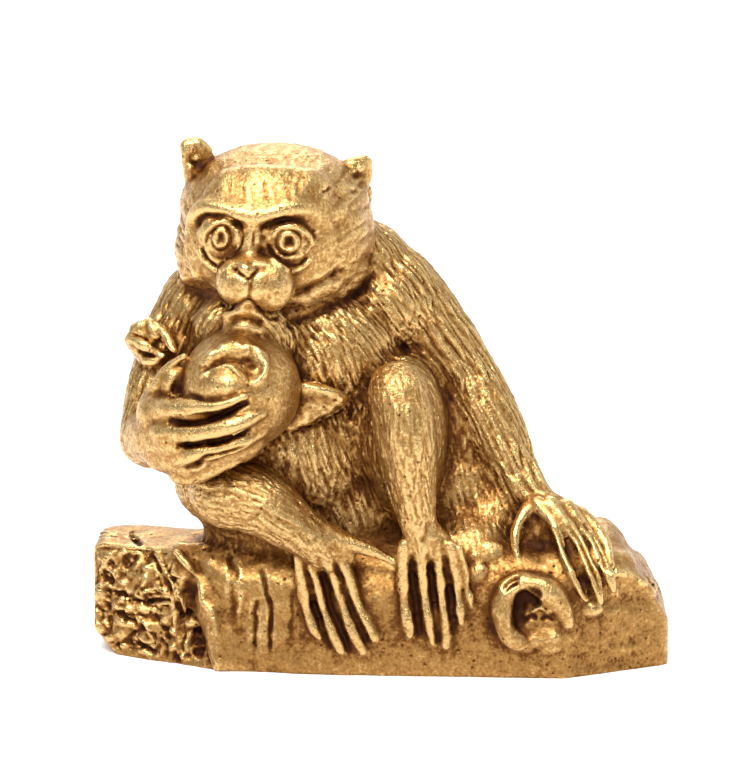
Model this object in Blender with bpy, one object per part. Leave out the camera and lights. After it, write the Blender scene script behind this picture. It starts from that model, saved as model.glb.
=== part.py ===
"""Brass monkey sitting on a log with a peach, cast as one solid piece.

Lengths are in millimetres until the last step turns the casting into metres.
The figure is laid out on a front drawing. A place on it is (x, h, y): x across and
h up on the drawing, as an eye DRAWING_DISTANCE away and DRAWING_TILT degrees above
the level sees them, and y the depth, with the front of the figure towards minus y.

The casting is made the way it would be made in clay. Large masses are pressed
together and smoothed, the forms of the face, hands and feet are added and smoothed
less, the small features come last, and then grooves and ridges are carved.
"""
import math

import bmesh
import bpy
import numpy as np
from mathutils import Matrix, Vector

# Driving dimensions
LOG_LENGTH = 51.5
LOG_WIDTH = 18.4
LOG_HEIGHT = 11.25
LOG_EDGE = 5.0
LOG_FALL = 2.6
LOG_YAW = 3.5
PEACH_RADIUS = 5.35
SHIN_RADIUS = 2.8
ARM_RADIUS = 3.2
DIGIT_RADIUS = 0.58
BROW_RADIUS = 1.0
LOCK_WIDTH = 1.8
LOCK_LENGTH = 7.0

# Front drawing
DRAWING_DISTANCE = 400.0
DRAWING_TILT = 12.0
DRAWING_CENTRE = (-0.54, 24.56)

# Clay
MASS_GRAIN = 0.4
MASS_SMOOTHING = 10
FORM_GRAIN = 0.3
FORM_SMOOTHING = 5
FINE_GRAIN = 0.3
FINE_SMOOTHING = 2
TRIANGLES = 9600
HIDDEN_DEPTH = 1.2
METRE = 0.001

# Finish
BRASS_COLOUR = (0.45, 0.27, 0.10, 1.0)
BRASS_ROUGHNESS = 0.38
BRASS_METALLIC = 0.9

TILT = math.radians(DRAWING_TILT)
SIGHT = Vector((0, math.cos(TILT), -math.sin(TILT)))
ACROSS = Vector((1, 0, 0))
UPWARD = Vector((0, math.sin(TILT), math.cos(TILT)))
EYE = Vector((DRAWING_CENTRE[0], 0, DRAWING_CENTRE[1])) - DRAWING_DISTANCE * SIGHT


def place(x, h, y):
    """Model place of a point of the drawing at depth y."""
    ray = SIGHT + ACROSS * ((x - DRAWING_CENTRE[0]) / DRAWING_DISTANCE)
    ray = ray + UPWARD * ((h - DRAWING_CENTRE[1]) / DRAWING_DISTANCE)
    return EYE + ray * ((y - EYE.y) / ray.y)


def on_drawing(points):
    """Drawing coordinates x, h and the distance from the eye of model points."""
    from_eye = points - np.array(EYE)
    distance = from_eye @ np.array(SIGHT)
    x = from_eye[:, 0] / distance * DRAWING_DISTANCE + DRAWING_CENTRE[0]
    h = from_eye @ np.array(UPWARD) / distance * DRAWING_DISTANCE + DRAWING_CENTRE[1]
    return x, h, distance


def log_front(x):
    """Depth of the log's front face at x."""
    return float(np.interp(x, (-15.6, -7.0, 15.7), (-7.0, -8.7, -10.1)))


class Clay:
    """Closed lumps that are gathered in one mesh and then fused."""

    def __init__(self, start=None):
        self.bm = bmesh.new()
        if start:
            self.bm.from_mesh(start.data)
            bpy.data.objects.remove(start)

    def ball(self, centre, radii, turn=0.0, fine=3):
        """Ellipsoid, turned about the depth axis by turn degrees."""
        shape = Matrix.Translation(place(*centre))
        shape = shape @ Matrix.Rotation(math.radians(turn), 4, "Y")
        shape = shape @ Matrix.Diagonal((*radii, 1))
        bmesh.ops.create_icosphere(self.bm, subdivisions=fine, radius=1, matrix=shape)

    def limb(self, *stations):
        """Round limb through stations (x, h, y, radius), with round ends."""
        curve = bpy.data.curves.new("limb", "CURVE")
        curve.dimensions = "3D"
        curve.bevel_depth = 1.0
        curve.bevel_resolution = 5
        curve.resolution_u = 6
        curve.use_fill_caps = True
        spline = curve.splines.new("BEZIER")
        spline.radius_interpolation = "CARDINAL"
        spline.bezier_points.add(len(stations) - 1)
        for point, (x, h, y, radius) in zip(spline.bezier_points, stations):
            point.co = place(x, h, y)
            point.radius = radius
            point.handle_left_type = "AUTO"
            point.handle_right_type = "AUTO"
        self.add_evaluated(bpy.data.objects.new("limb", curve))
        bpy.data.curves.remove(curve)
        for x, h, y, radius in (stations[0], stations[-1]):
            self.ball((x, h, y), (radius, radius, radius), fine=2)

    def block(self, *corners):
        """Rounded block: the tight skin round balls at corners (x, h, y, radius)."""
        skin = bmesh.new()
        for x, h, y, radius in corners:
            centre = Matrix.Translation(place(x, h, y))
            bmesh.ops.create_icosphere(skin, subdivisions=2, radius=radius, matrix=centre)
        hull = bmesh.ops.convex_hull(skin, input=skin.verts[:])
        outer = {face for face in hull["geom"] if isinstance(face, bmesh.types.BMFace)}
        inner = [face for face in skin.faces if face not in outer]
        bmesh.ops.delete(skin, geom=inner, context="FACES_ONLY")
        loose = [vert for vert in skin.verts if not vert.link_faces]
        bmesh.ops.delete(skin, geom=loose, context="VERTS")
        bmesh.ops.recalc_face_normals(skin, faces=skin.faces[:])
        self.add_bmesh(skin)

    def add_bmesh(self, bm):
        mesh = bpy.data.meshes.new("lump")
        bm.to_mesh(mesh)
        bm.free()
        self.bm.from_mesh(mesh)
        bpy.data.meshes.remove(mesh)

    def add_evaluated(self, obj):
        bpy.context.scene.collection.objects.link(obj)
        graph = bpy.context.evaluated_depsgraph_get()
        mesh = bpy.data.meshes.new_from_object(obj.evaluated_get(graph))
        self.bm.from_mesh(mesh)
        bpy.data.objects.remove(obj)
        bpy.data.meshes.remove(mesh)

    def fuse(self, name, grain, smoothing):
        """One object whose skin is the outside of all the lumps."""
        mesh = bpy.data.meshes.new(name)
        self.bm.to_mesh(mesh)
        self.bm.free()
        obj = bpy.data.objects.new(name, mesh)
        bpy.context.scene.collection.objects.link(obj)
        remesh = obj.modifiers.new("fuse", "REMESH")
        remesh.mode = "VOXEL"
        remesh.voxel_size = grain
        smooth = obj.modifiers.new("smooth", "SMOOTH")
        smooth.iterations = smoothing
        apply_modifiers(obj)
        return obj


def apply_modifiers(obj):
    graph = bpy.context.evaluated_depsgraph_get()
    mesh = bpy.data.meshes.new_from_object(obj.evaluated_get(graph))
    obj.modifiers.clear()
    before = obj.data
    obj.data = mesh
    bpy.data.meshes.remove(before)


def saw_off(bm, point, away):
    """Cuts away what lies beyond a plane and closes the cut with a flat face."""
    geometry = bm.verts[:] + bm.edges[:] + bm.faces[:]
    bmesh.ops.bisect_plane(bm, geom=geometry, plane_co=point, plane_no=away, clear_outer=True)
    rim = [edge for edge in bm.edges if edge.is_boundary]
    bmesh.ops.edgenet_fill(bm, edges=rim)


# The log


def add_log(clay):
    """Squared log with round edges, sawn at the left end and broken at the right."""
    log = bmesh.new()
    size = Vector((1.3 * LOG_LENGTH, 1.1 * LOG_WIDTH, 1.4 * LOG_HEIGHT))
    block = Matrix.Rotation(math.radians(-LOG_YAW), 4, "Z")
    block = block @ Matrix.Rotation(math.radians(-LOG_FALL), 4, "Y")
    block = block @ Matrix.Translation((0, 0.05 * LOG_WIDTH, LOG_HEIGHT - size.z / 2))
    block = block @ Matrix.Diagonal((*size, 1))
    bmesh.ops.create_cube(log, size=1, matrix=block)
    along = [edge for edge in log.edges if edge.calc_length() > LOG_LENGTH]
    bmesh.ops.bevel(log, geom=along, offset=LOG_EDGE, segments=10, profile=0.5, affect="EDGES")
    cuts = (  # a point of each sawn or broken plane, and its direction away from the log
        ((0.0, LOG_WIDTH / 2, 0), (0, 1, 0.06)),
        ((-15.6, -6.7, 0), (-0.66, -0.75, 0.05)),
        ((-15.6, -6.9, 0), (-0.19, -0.98, 0)),
        ((-25.6, 3.0, 0), (-1, 0.05, 0)),
        ((-22.5, 9.0, 0), (-0.7, 0.7, 0)),
        ((25.9, 0.0, 0), (1, 0, 0)),
        ((20.9, 2.0, 12.2), (0.853, 0, 0.52)),
        ((16.6, -9.9, 0), (0.5, -0.86, 0)),
        ((23.0, 9.0, 0), (0.7, 0.7, 0)),
    )
    for point, away in cuts:
        saw_off(log, point, away)
    bmesh.ops.recalc_face_normals(log, faces=log.faces[:])
    clay.add_bmesh(log)
    clay.ball((22.8, 1.6, -3.5), (2.6, 3.4, 5.2))
    clay.ball((19.7, 10.2, 0), (2.8, 4.5, 3.6))


def add_log_details(clay):
    """Lip of bark round the sawn end, a healed knot and lumps of bark."""
    clay.limb(
        (-18.8, 10.0, -3.4, 0.9), (-17.4, 8.6, -4.9, 0.9), (-16.6, 7.0, -5.7, 0.9),
        (-16.0, 5.2, -6.2, 0.85), (-15.1, 3.6, -6.8, 0.8), (-14.8, 0.7, -7.0, 0.8),
        (-15.0, -2.9, -7.0, 0.8),
    )
    clay.limb(
        (13.4, 1.1, -9.6, 0.7), (12.0, 1.8, -10.0, 1.0), (11.1, 3.5, -10.1, 1.15),
        (11.1, 5.1, -10.2, 1.2), (12.0, 6.4, -10.2, 1.15), (13.4, 6.6, -10.2, 1.2),
        (14.9, 6.0, -10.3, 1.35), (16.1, 4.8, -10.2, 1.15), (16.8, 3.1, -9.9, 0.6),
    )
    clay.ball((15.2, 1.1, -9.6), (1.2, 0.9, 0.7))
    clay.block(
        (13.8, 3.2, -9.2, 0.8), (15.1, 3.4, -9.2, 0.8), (13.8, 1.6, -9.7, 0.8),
        (15.5, 1.8, -9.8, 0.8),
    )
    clay.ball((9.6, 9.1, -8.6), (0.9, 0.8, 1.1))
    clay.ball((8.7, 6.6, -9.0), (0.8, 0.6, 1.8), turn=8)
    clay.ball((18.5, 4.4, -9.7), (0.7, 0.6, 0.5))
    clay.ball((22.8, 5.8, -5.0), (2.0, 1.5, 0.6), turn=12)


# Masses of the body


def add_body(clay):
    """Torso, chest, belly, flank and the filled hollows between the limbs."""
    clay.ball((-4.1, 14.2, 1.5), (9.6, 7.3, 6.5))
    clay.ball((-3.7, 21.4, 1.0), (9.6, 7.0, 9.0))
    clay.ball((-7.3, 30.0, 1.5), (11.0, 6.5, 6.5))
    clay.ball((-2.8, 36.5, 1.8), (3.2, 4.6, 3.9))
    clay.ball((-5.3, 27.5, -2.5), (6.6, 4.8, 5.5))
    clay.ball((-8.0, 18.3, -2.2), (7.2, 5.3, 7.2))
    clay.ball((-8.6, 32.2, -1.5), (6.5, 5.5, 5.5))
    clay.ball((-11.1, 29.1, -5.5), (3.8, 4.4, 3.6))
    clay.ball((-13.4, 29.5, -4.5), (3.6, 4.0, 3.4))
    clay.ball((6.8, 14.9, 1.0), (6.0, 5.5, 6.8))
    clay.ball((7.3, 20.5, 1.2), (4.6, 4.4, 7.5))
    clay.ball((10.3, 12.9, 0.0), (4.8, 5.5, 4.8))
    clay.ball((8.0, 8.8, -4.6), (4.6, 4.2, 4.4))
    clay.ball((-15.8, 22.8, -1.0), (4.6, 4.2, 8.0))


def add_arms(clay):
    """The propping arm on the right and the arm with the peach on the left."""
    clay.ball((0.1, 31.7, 1.5), (5.2, 5.4, 5.9))
    clay.limb(
        (1.2, 32.2, 1.5, 1.4 * ARM_RADIUS), (6.5, 27.3, 1.0, ARM_RADIUS),
        (9.8, 20.8, -1.0, 0.9 * ARM_RADIUS), (12.5, 15.8, -2.8, 0.72 * ARM_RADIUS),
        (14.8, 13.6, -4.2, 0.6 * ARM_RADIUS),
    )
    clay.ball((-16.1, 31.1, 0.5), (5.0, 5.0, 5.4))
    clay.limb(
        (-17.0, 30.6, 0.0, 1.35 * ARM_RADIUS), (-19.6, 25.2, -2.0, 1.03 * ARM_RADIUS),
        (-20.8, 20.1, -4.0, 0.9 * ARM_RADIUS),
    )


def add_legs(clay):
    """The raised knee and shin, and the folded leg that lies over the log."""
    clay.ball((2.1, 20.0, -4.0), (3.8, 5.2, 7.4))
    clay.limb(
        (1.5, 24.1, -8.2, SHIN_RADIUS), (2.1, 20.5, -9.2, SHIN_RADIUS),
        (2.7, 16.0, -9.3, 0.85 * SHIN_RADIUS), (3.4, 12.0, -9.5, 0.62 * SHIN_RADIUS),
        (4.0, 9.5, -9.3, 0.58 * SHIN_RADIUS),
    )
    clay.limb(
        (-16.3, 15.6, -4.5, 0.8 * SHIN_RADIUS), (-14.3, 14.9, -6.8, 1.1 * SHIN_RADIUS),
        (-11.6, 14.3, -8.2, 1.1 * SHIN_RADIUS), (-8.4, 12.2, -9.0, 0.9 * SHIN_RADIUS),
        (-5.7, 10.1, -9.3, 0.66 * SHIN_RADIUS), (-4.8, 8.6, -9.2, 0.5 * SHIN_RADIUS),
    )
    clay.block(
        (-15.8, 14.2, -2, 2.4), (-11.8, 13.1, -3, 3.0), (-7.3, 11.5, -4, 3.0),
        (-12.7, 10.6, -2, 3.0),
    )
    clay.ball((-11.8, 14.2, -2.5), (7.0, 6.0, 4.6))


def add_head(clay):
    """Skull, steep forehead and the ruff of hair at the jaw."""
    clay.ball((-9.5, 38.1, -1.5), (8.7, 7.9, 8.0))
    clay.ball((-9.6, 40.9, -1.0), (8.2, 7.2, 5.4))
    clay.block(
        (-12.7, 42.5, -5.8, 1.9), (-6.2, 42.3, -5.8, 1.9), (-13.8, 40.3, -6.6, 1.9),
        (-6.2, 40.1, -6.8, 1.9),
    )
    clay.block(
        (-2.8, 41.2, -0.6, 2.0), (-2.4, 37.6, -0.8, 2.0), (-2.7, 35.1, -1.6, 2.0),
        (-5.5, 33.1, -3.6, 2.0), (-5.0, 37.6, -3, 3.0),
    )
    clay.ball((-16.0, 36.5, -2.0), (2.6, 4.0, 3.2))


def add_tail(clay):
    """Tail that lies along the back of the log."""
    clay.limb(
        (-0.1, 14.4, 8.2, 1.9), (2.2, 11.1, 9.0, 1.6), (5.8, 8.3, 9.2, 1.4),
        (10.0, 7.4, 9.2, 1.25), (13.4, 8.8, 9.1, 1.1), (14.3, 10.6, 9.0, 1.0),
        (13.1, 11.9, 9.0, 0.8),
    )


# Forms that melt into the masses


def add_face(clay):
    """Mask of the face with brow, nose bridge, cheeks, muzzle and lower lip."""
    clay.ball((-11.1, 37.0, -6.2), (6.6, 3.0, 4.9), turn=4)
    clay.limb(
        (-17.2, 38.3, -6.0, 0.6 * BROW_RADIUS), (-16.6, 39.8, -6.9, 0.8 * BROW_RADIUS),
        (-15.2, 40.8, -8.0, BROW_RADIUS), (-13.4, 40.5, -8.9, BROW_RADIUS),
        (-11.9, 39.8, -9.5, BROW_RADIUS), (-10.2, 40.3, -9.4, BROW_RADIUS),
        (-8.2, 40.9, -8.9, BROW_RADIUS), (-6.5, 40.6, -8.2, 0.95 * BROW_RADIUS),
        (-5.2, 39.2, -7.2, 0.9 * BROW_RADIUS), (-4.3, 37.2, -6.2, 0.8 * BROW_RADIUS),
    )
    clay.limb((-11.8, 39.2, -9.2, 0.9), (-11.8, 37.2, -9.7, 0.9), (-12.0, 35.8, -10.6, 1.0))
    clay.ball((-6.3, 35.1, -6.7), (2.1, 1.6, 2.3))
    clay.ball((-15.9, 35.6, -6.2), (1.4, 1.5, 2.0))
    clay.ball((-11.4, 33.7, -9.3), (3.35, 3.0, 2.35))
    clay.ball((-13.1, 33.6, -10.3), (1.85, 1.45, 1.95))
    clay.ball((-9.9, 33.5, -10.4), (2.15, 1.65, 2.2))
    clay.ball((-12.0, 35.1, -11.0), (1.35, 1.1, 0.95))
    clay.block(
        (-12.9, 31.1, -9.4, 0.9), (-10.7, 30.7, -9.6, 1.0), (-9.6, 29.9, -8.8, 0.8),
        (-12.7, 30.0, -9.0, 0.9),
    )


def add_ruff(clay):
    clay.limb(
        (-2.6, 41.6, -1.6, 1.5), (-2.1, 39.0, -1.6, 1.5), (-2.2, 36.2, -2.0, 1.6),
        (-3.0, 34.4, -3.0, 1.6), (-5.3, 32.7, -4.6, 1.5), (-8.0, 31.2, -5.8, 1.1),
    )
    clay.limb((-17.3, 40.8, -1.8, 1.2), (-17.7, 37.6, -2.2, 1.2), (-17.0, 34.5, -3.4, 1.2))


def add_peach(clay):
    clay.ball((-12.7, 24.2, -8.8), (PEACH_RADIUS, PEACH_RADIUS, PEACH_RADIUS), fine=5)


def add_palms(clay):
    """Backs of both hands and both feet, which the digits grow out of."""
    clay.limb((-20.8, 20.1, -4.0, 2.85), (-19.6, 20.1, -8.0, 2.6), (-18.1, 20.0, -10.3, 2.3))
    clay.block(
        (-20.2, 22.1, -8.6, 1.9), (-19.5, 18.5, -8.6, 1.9), (-17.6, 22.1, -11.2, 1.4),
        (-17.4, 17.3, -10.4, 1.2),
    )
    clay.block(
        (-19.4, 22.3, -10.2, 1.2), (-17.6, 22.3, -12.0, 1.0), (-18.8, 18.0, -10.0, 1.3),
        (-16.3, 17.8, -11.2, 1.1), (-15.4, 21.0, -12.8, 1.0),
    )
    clay.block((-19.7, 20.5, -7.4, 2.0), (-19.2, 24.1, -8.2, 1.2), (-20.1, 22.8, -7.0, 1.8))
    clay.block(
        (14.4, 14.2, -4.4, 1.6), (16.3, 13.7, -4.8, 1.5), (18.8, 12.4, -3.6, 1.1),
        (16.1, 11.7, -6.0, 0.8), (19.5, 10.6, -5.0, 0.8),
    )
    clay.block(
        (-6.6, 9.7, -9.2, 1.1), (-3.2, 10.1, -9.3, 1.1), (-6.8, 7.5, -8.9, 0.7),
        (-2.6, 7.7, -9.1, 0.7), (-5.3, 11.0, -9.2, 1.5),
    )
    clay.block(
        (2.4, 9.5, -9.5, 1.0), (6.4, 9.2, -9.2, 1.0), (2.2, 7.5, -9.4, 0.7), (7.3, 7.0, -9.0, 0.7),
        (4.0, 11.1, -9.4, 1.6),
    )
    clay.ball((13.7, 3.6, -8.0), (3.6, 1.6, 3.6))


# Small features


def add_ears_and_eyes(clay):
    clay.block(
        (-17.3, 46.0, -1.4, 0.85), (-16.6, 46.2, -1.2, 0.8), (-15.9, 45.6, -0.8, 0.75),
        (-17.2, 44.6, -1.6, 0.8), (-15.8, 44.1, -0.8, 0.9), (-16.8, 42.5, -1.4, 0.8),
    )
    clay.block(
        (-2.6, 44.1, -0.9, 1.0), (-1.6, 44.5, -0.4, 0.85), (-1.4, 43.5, -0.4, 0.75),
        (-2.1, 42.3, -0.9, 0.9),
    )
    clay.block(
        (-1.7, 42.5, -0.2, 0.7), (-1.3, 41.8, 0.0, 0.6), (-1.3, 41.1, 0.1, 0.5),
        (-1.9, 41.2, -0.2, 0.8),
    )
    clay.ball((-14.4, 37.7, -7.8), (1.5, 1.6, 1.6))
    clay.ball((-8.3, 37.3, -8.1), (1.7, 1.65, 1.7))


def add_fingers_on_peach(clay):
    thick = 1.6 * DIGIT_RADIUS
    clay.limb(
        (-19.9, 22.2, -9.4, 1.4), (-18.3, 22.5, -11.8, thick), (-16.7, 22.6, -13.0, 0.7),
        (-14.9, 22.8, -13.8, 0.6), (-12.3, 23.5, -14.3, 0.4),
    )
    clay.limb(
        (-19.4, 20.3, -10.4, 1.5), (-17.7, 20.3, -12.3, thick), (-15.6, 20.4, -13.3, thick),
        (-13.2, 21.0, -14.0, 0.85), (-10.7, 22.0, -13.9, 0.45),
    )
    clay.limb(
        (-18.8, 18.3, -9.8, 1.3), (-17.2, 18.3, -11.7, thick), (-15.0, 18.7, -12.6, 0.85),
        (-12.9, 19.2, -13.0, 0.7), (-10.7, 20.3, -12.9, 0.35),
    )
    clay.limb(
        (-18.1, 16.7, -9.6, 1.1), (-16.6, 16.5, -10.4, 0.85), (-14.8, 17.2, -11.2, 0.7),
        (-12.9, 18.0, -11.8, 0.55), (-10.9, 19.1, -11.8, 0.3),
    )
    clay.limb(
        (-20.6, 22.1, -7.5, 1.4), (-20.2, 24.2, -8.6, 1.0), (-19.0, 26.2, -9.6, 0.7),
        (-17.1, 27.7, -10.4, 0.45),
    )


def add_leaves(clay):
    """Leaves round the peach's stalk, and the flat leaf right of the peach."""
    leaves = (
        ((-19.9, 28.2), (-22.7, 28.8), 0.8),
        ((-19.5, 27.5), (-21.6, 27.3), 0.75),
        ((-19.4, 29.1), (-17.7, 27.1), 0.55),
        ((-19.6, 28.1), (-20.2, 30.0), 0.55),
        ((-19.4, 27.5), (-18.8, 25.7), 0.6),
        ((-19.6, 27.3), (-20.8, 26.1), 0.6),
    )
    for stem, tip, width in leaves:
        middle = ((stem[0] + tip[0]) / 2, (stem[1] + tip[1]) / 2)
        clay.limb((*stem, -5.0, 0.35), (*middle, -5.3, width), (*tip, -4.2, 0.3))
    clay.block(
        (-8.2, 24.6, -8.0, 0.5), (-5.7, 24.2, -7.4, 0.45), (-3.2, 23.0, -6.8, 0.4),
        (-5.3, 21.8, -7.2, 0.45), (-8.2, 20.7, -7.8, 0.5), (-5.5, 23.0, -4.5, 1.5),
        (-7.3, 23.0, -4.5, 1.8),
    )


def add_fingers_on_log(clay):
    thin = DIGIT_RADIUS
    clay.limb(
        (14.1, 13.8, -5.6, 0.9), (15.8, 11.5, -7.3, thin), (16.7, 8.8, -8.7, thin),
        (17.3, 7.6, -9.4, 1.15 * thin), (18.4, 5.3, -9.9, 0.35),
    )
    clay.limb(
        (15.2, 13.7, -5.9, 0.9), (17.5, 11.0, -7.5, thin), (18.6, 8.6, -9.0, thin),
        (19.2, 7.2, -9.6, 1.1 * thin), (19.8, 5.0, -9.9, 0.32),
    )
    clay.limb(
        (16.6, 13.5, -5.5, 0.9), (18.9, 10.8, -6.9, thin), (20.1, 8.3, -8.4, thin),
        (20.5, 7.2, -8.9, thin), (20.9, 6.1, -9.1, 0.35),
    )
    clay.limb(
        (17.9, 12.9, -4.4, 0.8), (19.9, 11.0, -5.8, 0.5), (20.5, 9.2, -7.0, 0.45),
        (20.7, 8.3, -7.6, 0.3),
    )
    clay.limb(
        (13.9, 13.9, -5.0, 1.0), (12.7, 12.6, -6.4, 0.62), (12.1, 10.8, -7.4, 0.5),
        (12.3, 8.8, -8.2, 0.3),
    )
    clay.block(
        (15.4, 12.4, -5.8, 0.9), (19.5, 11.3, -4.9, 0.8), (17.1, 7.7, -8.6, 0.5),
        (20.2, 8.3, -7.4, 0.5), (18.8, 6.3, -9.2, 0.35),
    )


def add_toes(clay):
    """Toes as (x, h, thickness) ridges that run down the log's front."""
    toes = (
        ((-6.8, 9.5, 1.0), (-7.3, 7.5, 0.9), (-6.8, 5.0, 0.9), (-6.2, 3.6, 1.05), (-5.5, 1.6, 0.7)),
        ((-5.9, 9.7, 1.0), (-5.7, 7.0, 1.0), (-5.1, 4.7, 0.85), (-4.3, 3.1, 1.05), (-3.3, 0.5, 0.6)),
        ((-5.0, 9.7, 1.0), (-4.3, 7.0, 1.0), (-3.7, 5.0, 0.85), (-2.8, 3.6, 1.05), (-1.5, 0.5, 0.55)),
        ((-3.7, 9.9, 1.0), (-2.7, 7.5, 0.95), (-2.1, 5.9, 0.85), (-1.4, 4.1, 0.75), (-0.6, 2.3, 0.45)),
        ((2.1, 9.5, 1.0), (2.2, 6.6, 0.95), (2.4, 4.1, 0.9), (2.7, 2.3, 1.05)),
        ((3.5, 9.5, 1.0), (3.5, 7.2, 1.0), (4.0, 5.2, 0.85), (4.2, 3.6, 1.0), (4.5, 1.4, 0.7)),
        ((5.0, 9.5, 1.0), (5.3, 7.0, 1.0), (5.6, 5.2, 0.85), (5.8, 3.6, 0.95), (5.9, 1.4, 0.6)),
        ((6.5, 9.3, 0.95), (6.9, 6.3, 0.8), (7.1, 4.7, 0.7), (7.2, 3.2, 0.45)),
        ((7.2, 9.0, 0.75), (7.6, 6.6, 0.55), (8.0, 4.8, 0.35)),
    )
    for toe in toes:
        stations = []
        for step, (x, h, thickness) in enumerate(toe):
            lift = 1.0 if step == 0 else 0.35
            stations.append((x, h, log_front(x) - lift, thickness * DIGIT_RADIUS))
        clay.limb(*stations)
    clay.limb(
        (-3.9, 10.8, -9.8, 0.9), (-2.1, 10.2, -9.9, 0.8), (-0.5, 9.5, -9.7, 0.65),
        (1.0, 8.7, -9.5, 0.35),
    )


# Carving


class Carving:
    """Grooves and ridges pressed into the front skin along paths on the drawing."""

    def __init__(self, obj):
        self.mesh = obj.data
        self.points = read_vectors(self.mesh.vertices, "co")
        self.look_again()

    def look_again(self):
        """Finds the skin that the eye of the drawing sees."""
        self.normals = read_vectors(self.mesh.vertices, "normal")
        x, h, distance = on_drawing(self.points)
        cell = 0.4
        column = np.floor(x / cell).astype(int)
        row = np.floor(h / cell).astype(int)
        column -= column.min() - 1
        row -= row.min() - 1
        nearest = np.full((column.max() + 2, row.max() + 2), 1e9)
        np.minimum.at(nearest, (column, row), distance)
        facing = self.normals @ np.array(SIGHT) < 0
        self.seen = np.nonzero(facing & (distance < nearest[column, row] + HIDDEN_DEPTH))[0]
        self.x = x[self.seen]
        self.h = h[self.seen]

    def press(self, height):
        self.points[self.seen] += self.normals[self.seen] * height[:, None]
        write_points(self.mesh, self.points)
        self.look_again()

    def stroke(self, path, width, height):
        """Ridge, or groove where height is negative, along a path of (x, h)."""
        path = np.array(rounded_path(path))
        away = np.full(len(self.x), 1e9)
        for (ax, ah), (bx, bh) in zip(path[:-1], path[1:]):
            length = (bx - ax) ** 2 + (bh - ah) ** 2
            along = ((self.x - ax) * (bx - ax) + (self.h - ah) * (bh - ah)) / length
            along = np.clip(along, 0, 1)
            off = np.hypot(self.x - ax - along * (bx - ax), self.h - ah - along * (bh - ah))
            away = np.minimum(away, off)
        self.press(height * np.exp(-((away / width) ** 2)))

    def hollow(self, centre, radii, depth, turn=0.0):
        """Round-bottomed pit with flat sides."""
        cos, sin = math.cos(math.radians(turn)), math.sin(math.radians(turn))
        dx, dh = self.x - centre[0], self.h - centre[1]
        reach = ((dx * cos + dh * sin) / radii[0]) ** 2 + ((dh * cos - dx * sin) / radii[1]) ** 2
        self.press(-depth * np.exp(-(reach ** 1.5)))


def read_vectors(items, name):
    values = np.empty(3 * len(items), np.float32)
    items.foreach_get(name, values)
    return values.reshape(-1, 3).astype(float)


def write_points(mesh, points):
    mesh.vertices.foreach_set("co", points.astype(np.float32).ravel())
    mesh.update()


def rounded_path(points, steps=4):
    """The points of a smooth curve through points."""
    first = [2 * a - b for a, b in zip(points[0], points[1])]
    last = [2 * a - b for a, b in zip(points[-1], points[-2])]
    ends = [first, *points, last]
    path = []
    for before, start, end, after in zip(ends, ends[1:], ends[2:], ends[3:]):
        for step in range(steps):
            t = step / steps
            path.append([
                b + 0.5 * t * (c - a + t * (2 * a - 5 * b + 4 * c - d + t * (3 * (b - c) + d - a)))
                for a, b, c, d in zip(before, start, end, after)
            ])
    path.append(list(points[-1]))
    return path


def circle(centre, radius, sides=12):
    x, h = centre
    turns = [2 * math.pi * side / sides for side in range(sides + 1)]
    return [(x + radius * math.cos(turn), h + radius * math.sin(turn)) for turn in turns]


def carve_head(carving):
    carving.stroke(
        [(-16.4, 38.9), (-15.9, 39.7), (-14.8, 39.8), (-13.5, 39.3), (-12.6, 38.7)],
        0.45, -0.5,
    )
    carving.stroke(
        [(-10.6, 38.3), (-9.5, 39.1), (-8.2, 39.5), (-6.8, 39.2), (-5.8, 38.1)],
        0.45, -0.55,
    )
    for eye, lid in (((-14.4, 37.8), 1.5), ((-8.3, 37.3), 1.7)):
        carving.stroke(circle(eye, lid), 0.4, 0.35)
        carving.hollow(eye, (0.7, 0.75), 0.4)
    carving.stroke([(-11.9, 34.4), (-11.9, 33.1), (-12.0, 31.9)], 0.4, -0.3)
    carving.stroke(
        [(-14.6, 31.9), (-13.6, 31.4), (-12.1, 31.8), (-10.7, 31.1), (-9.5, 30.5), (-8.6, 30.7)],
        0.42, -0.45,
    )
    carving.stroke(
        [(-3.9, 39.6), (-3.7, 37.6), (-4.0, 35.6), (-5.1, 34.1), (-6.6, 33.3), (-8.0, 32.9)],
        0.7, -0.4,
    )
    carving.stroke([(-8.0, 32.8), (-6.1, 33.4), (-4.3, 34.3), (-3.0, 34.9)], 0.5, -0.5)
    carving.stroke([(-17.4, 38.3), (-17.2, 36.2), (-16.1, 34.4), (-14.8, 32.9)], 0.5, -0.4)
    carving.stroke(
        [(-9.4, 29.3), (-7.5, 30.3), (-5.0, 31.3), (-2.6, 32.6), (-0.6, 34.4)],
        0.6, -0.8,
    )
    carving.hollow((-16.8, 44.6), (0.7, 1.6), 0.7, turn=12)
    carving.hollow((-2.2, 43.5), (0.75, 0.9), 0.5)


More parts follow.
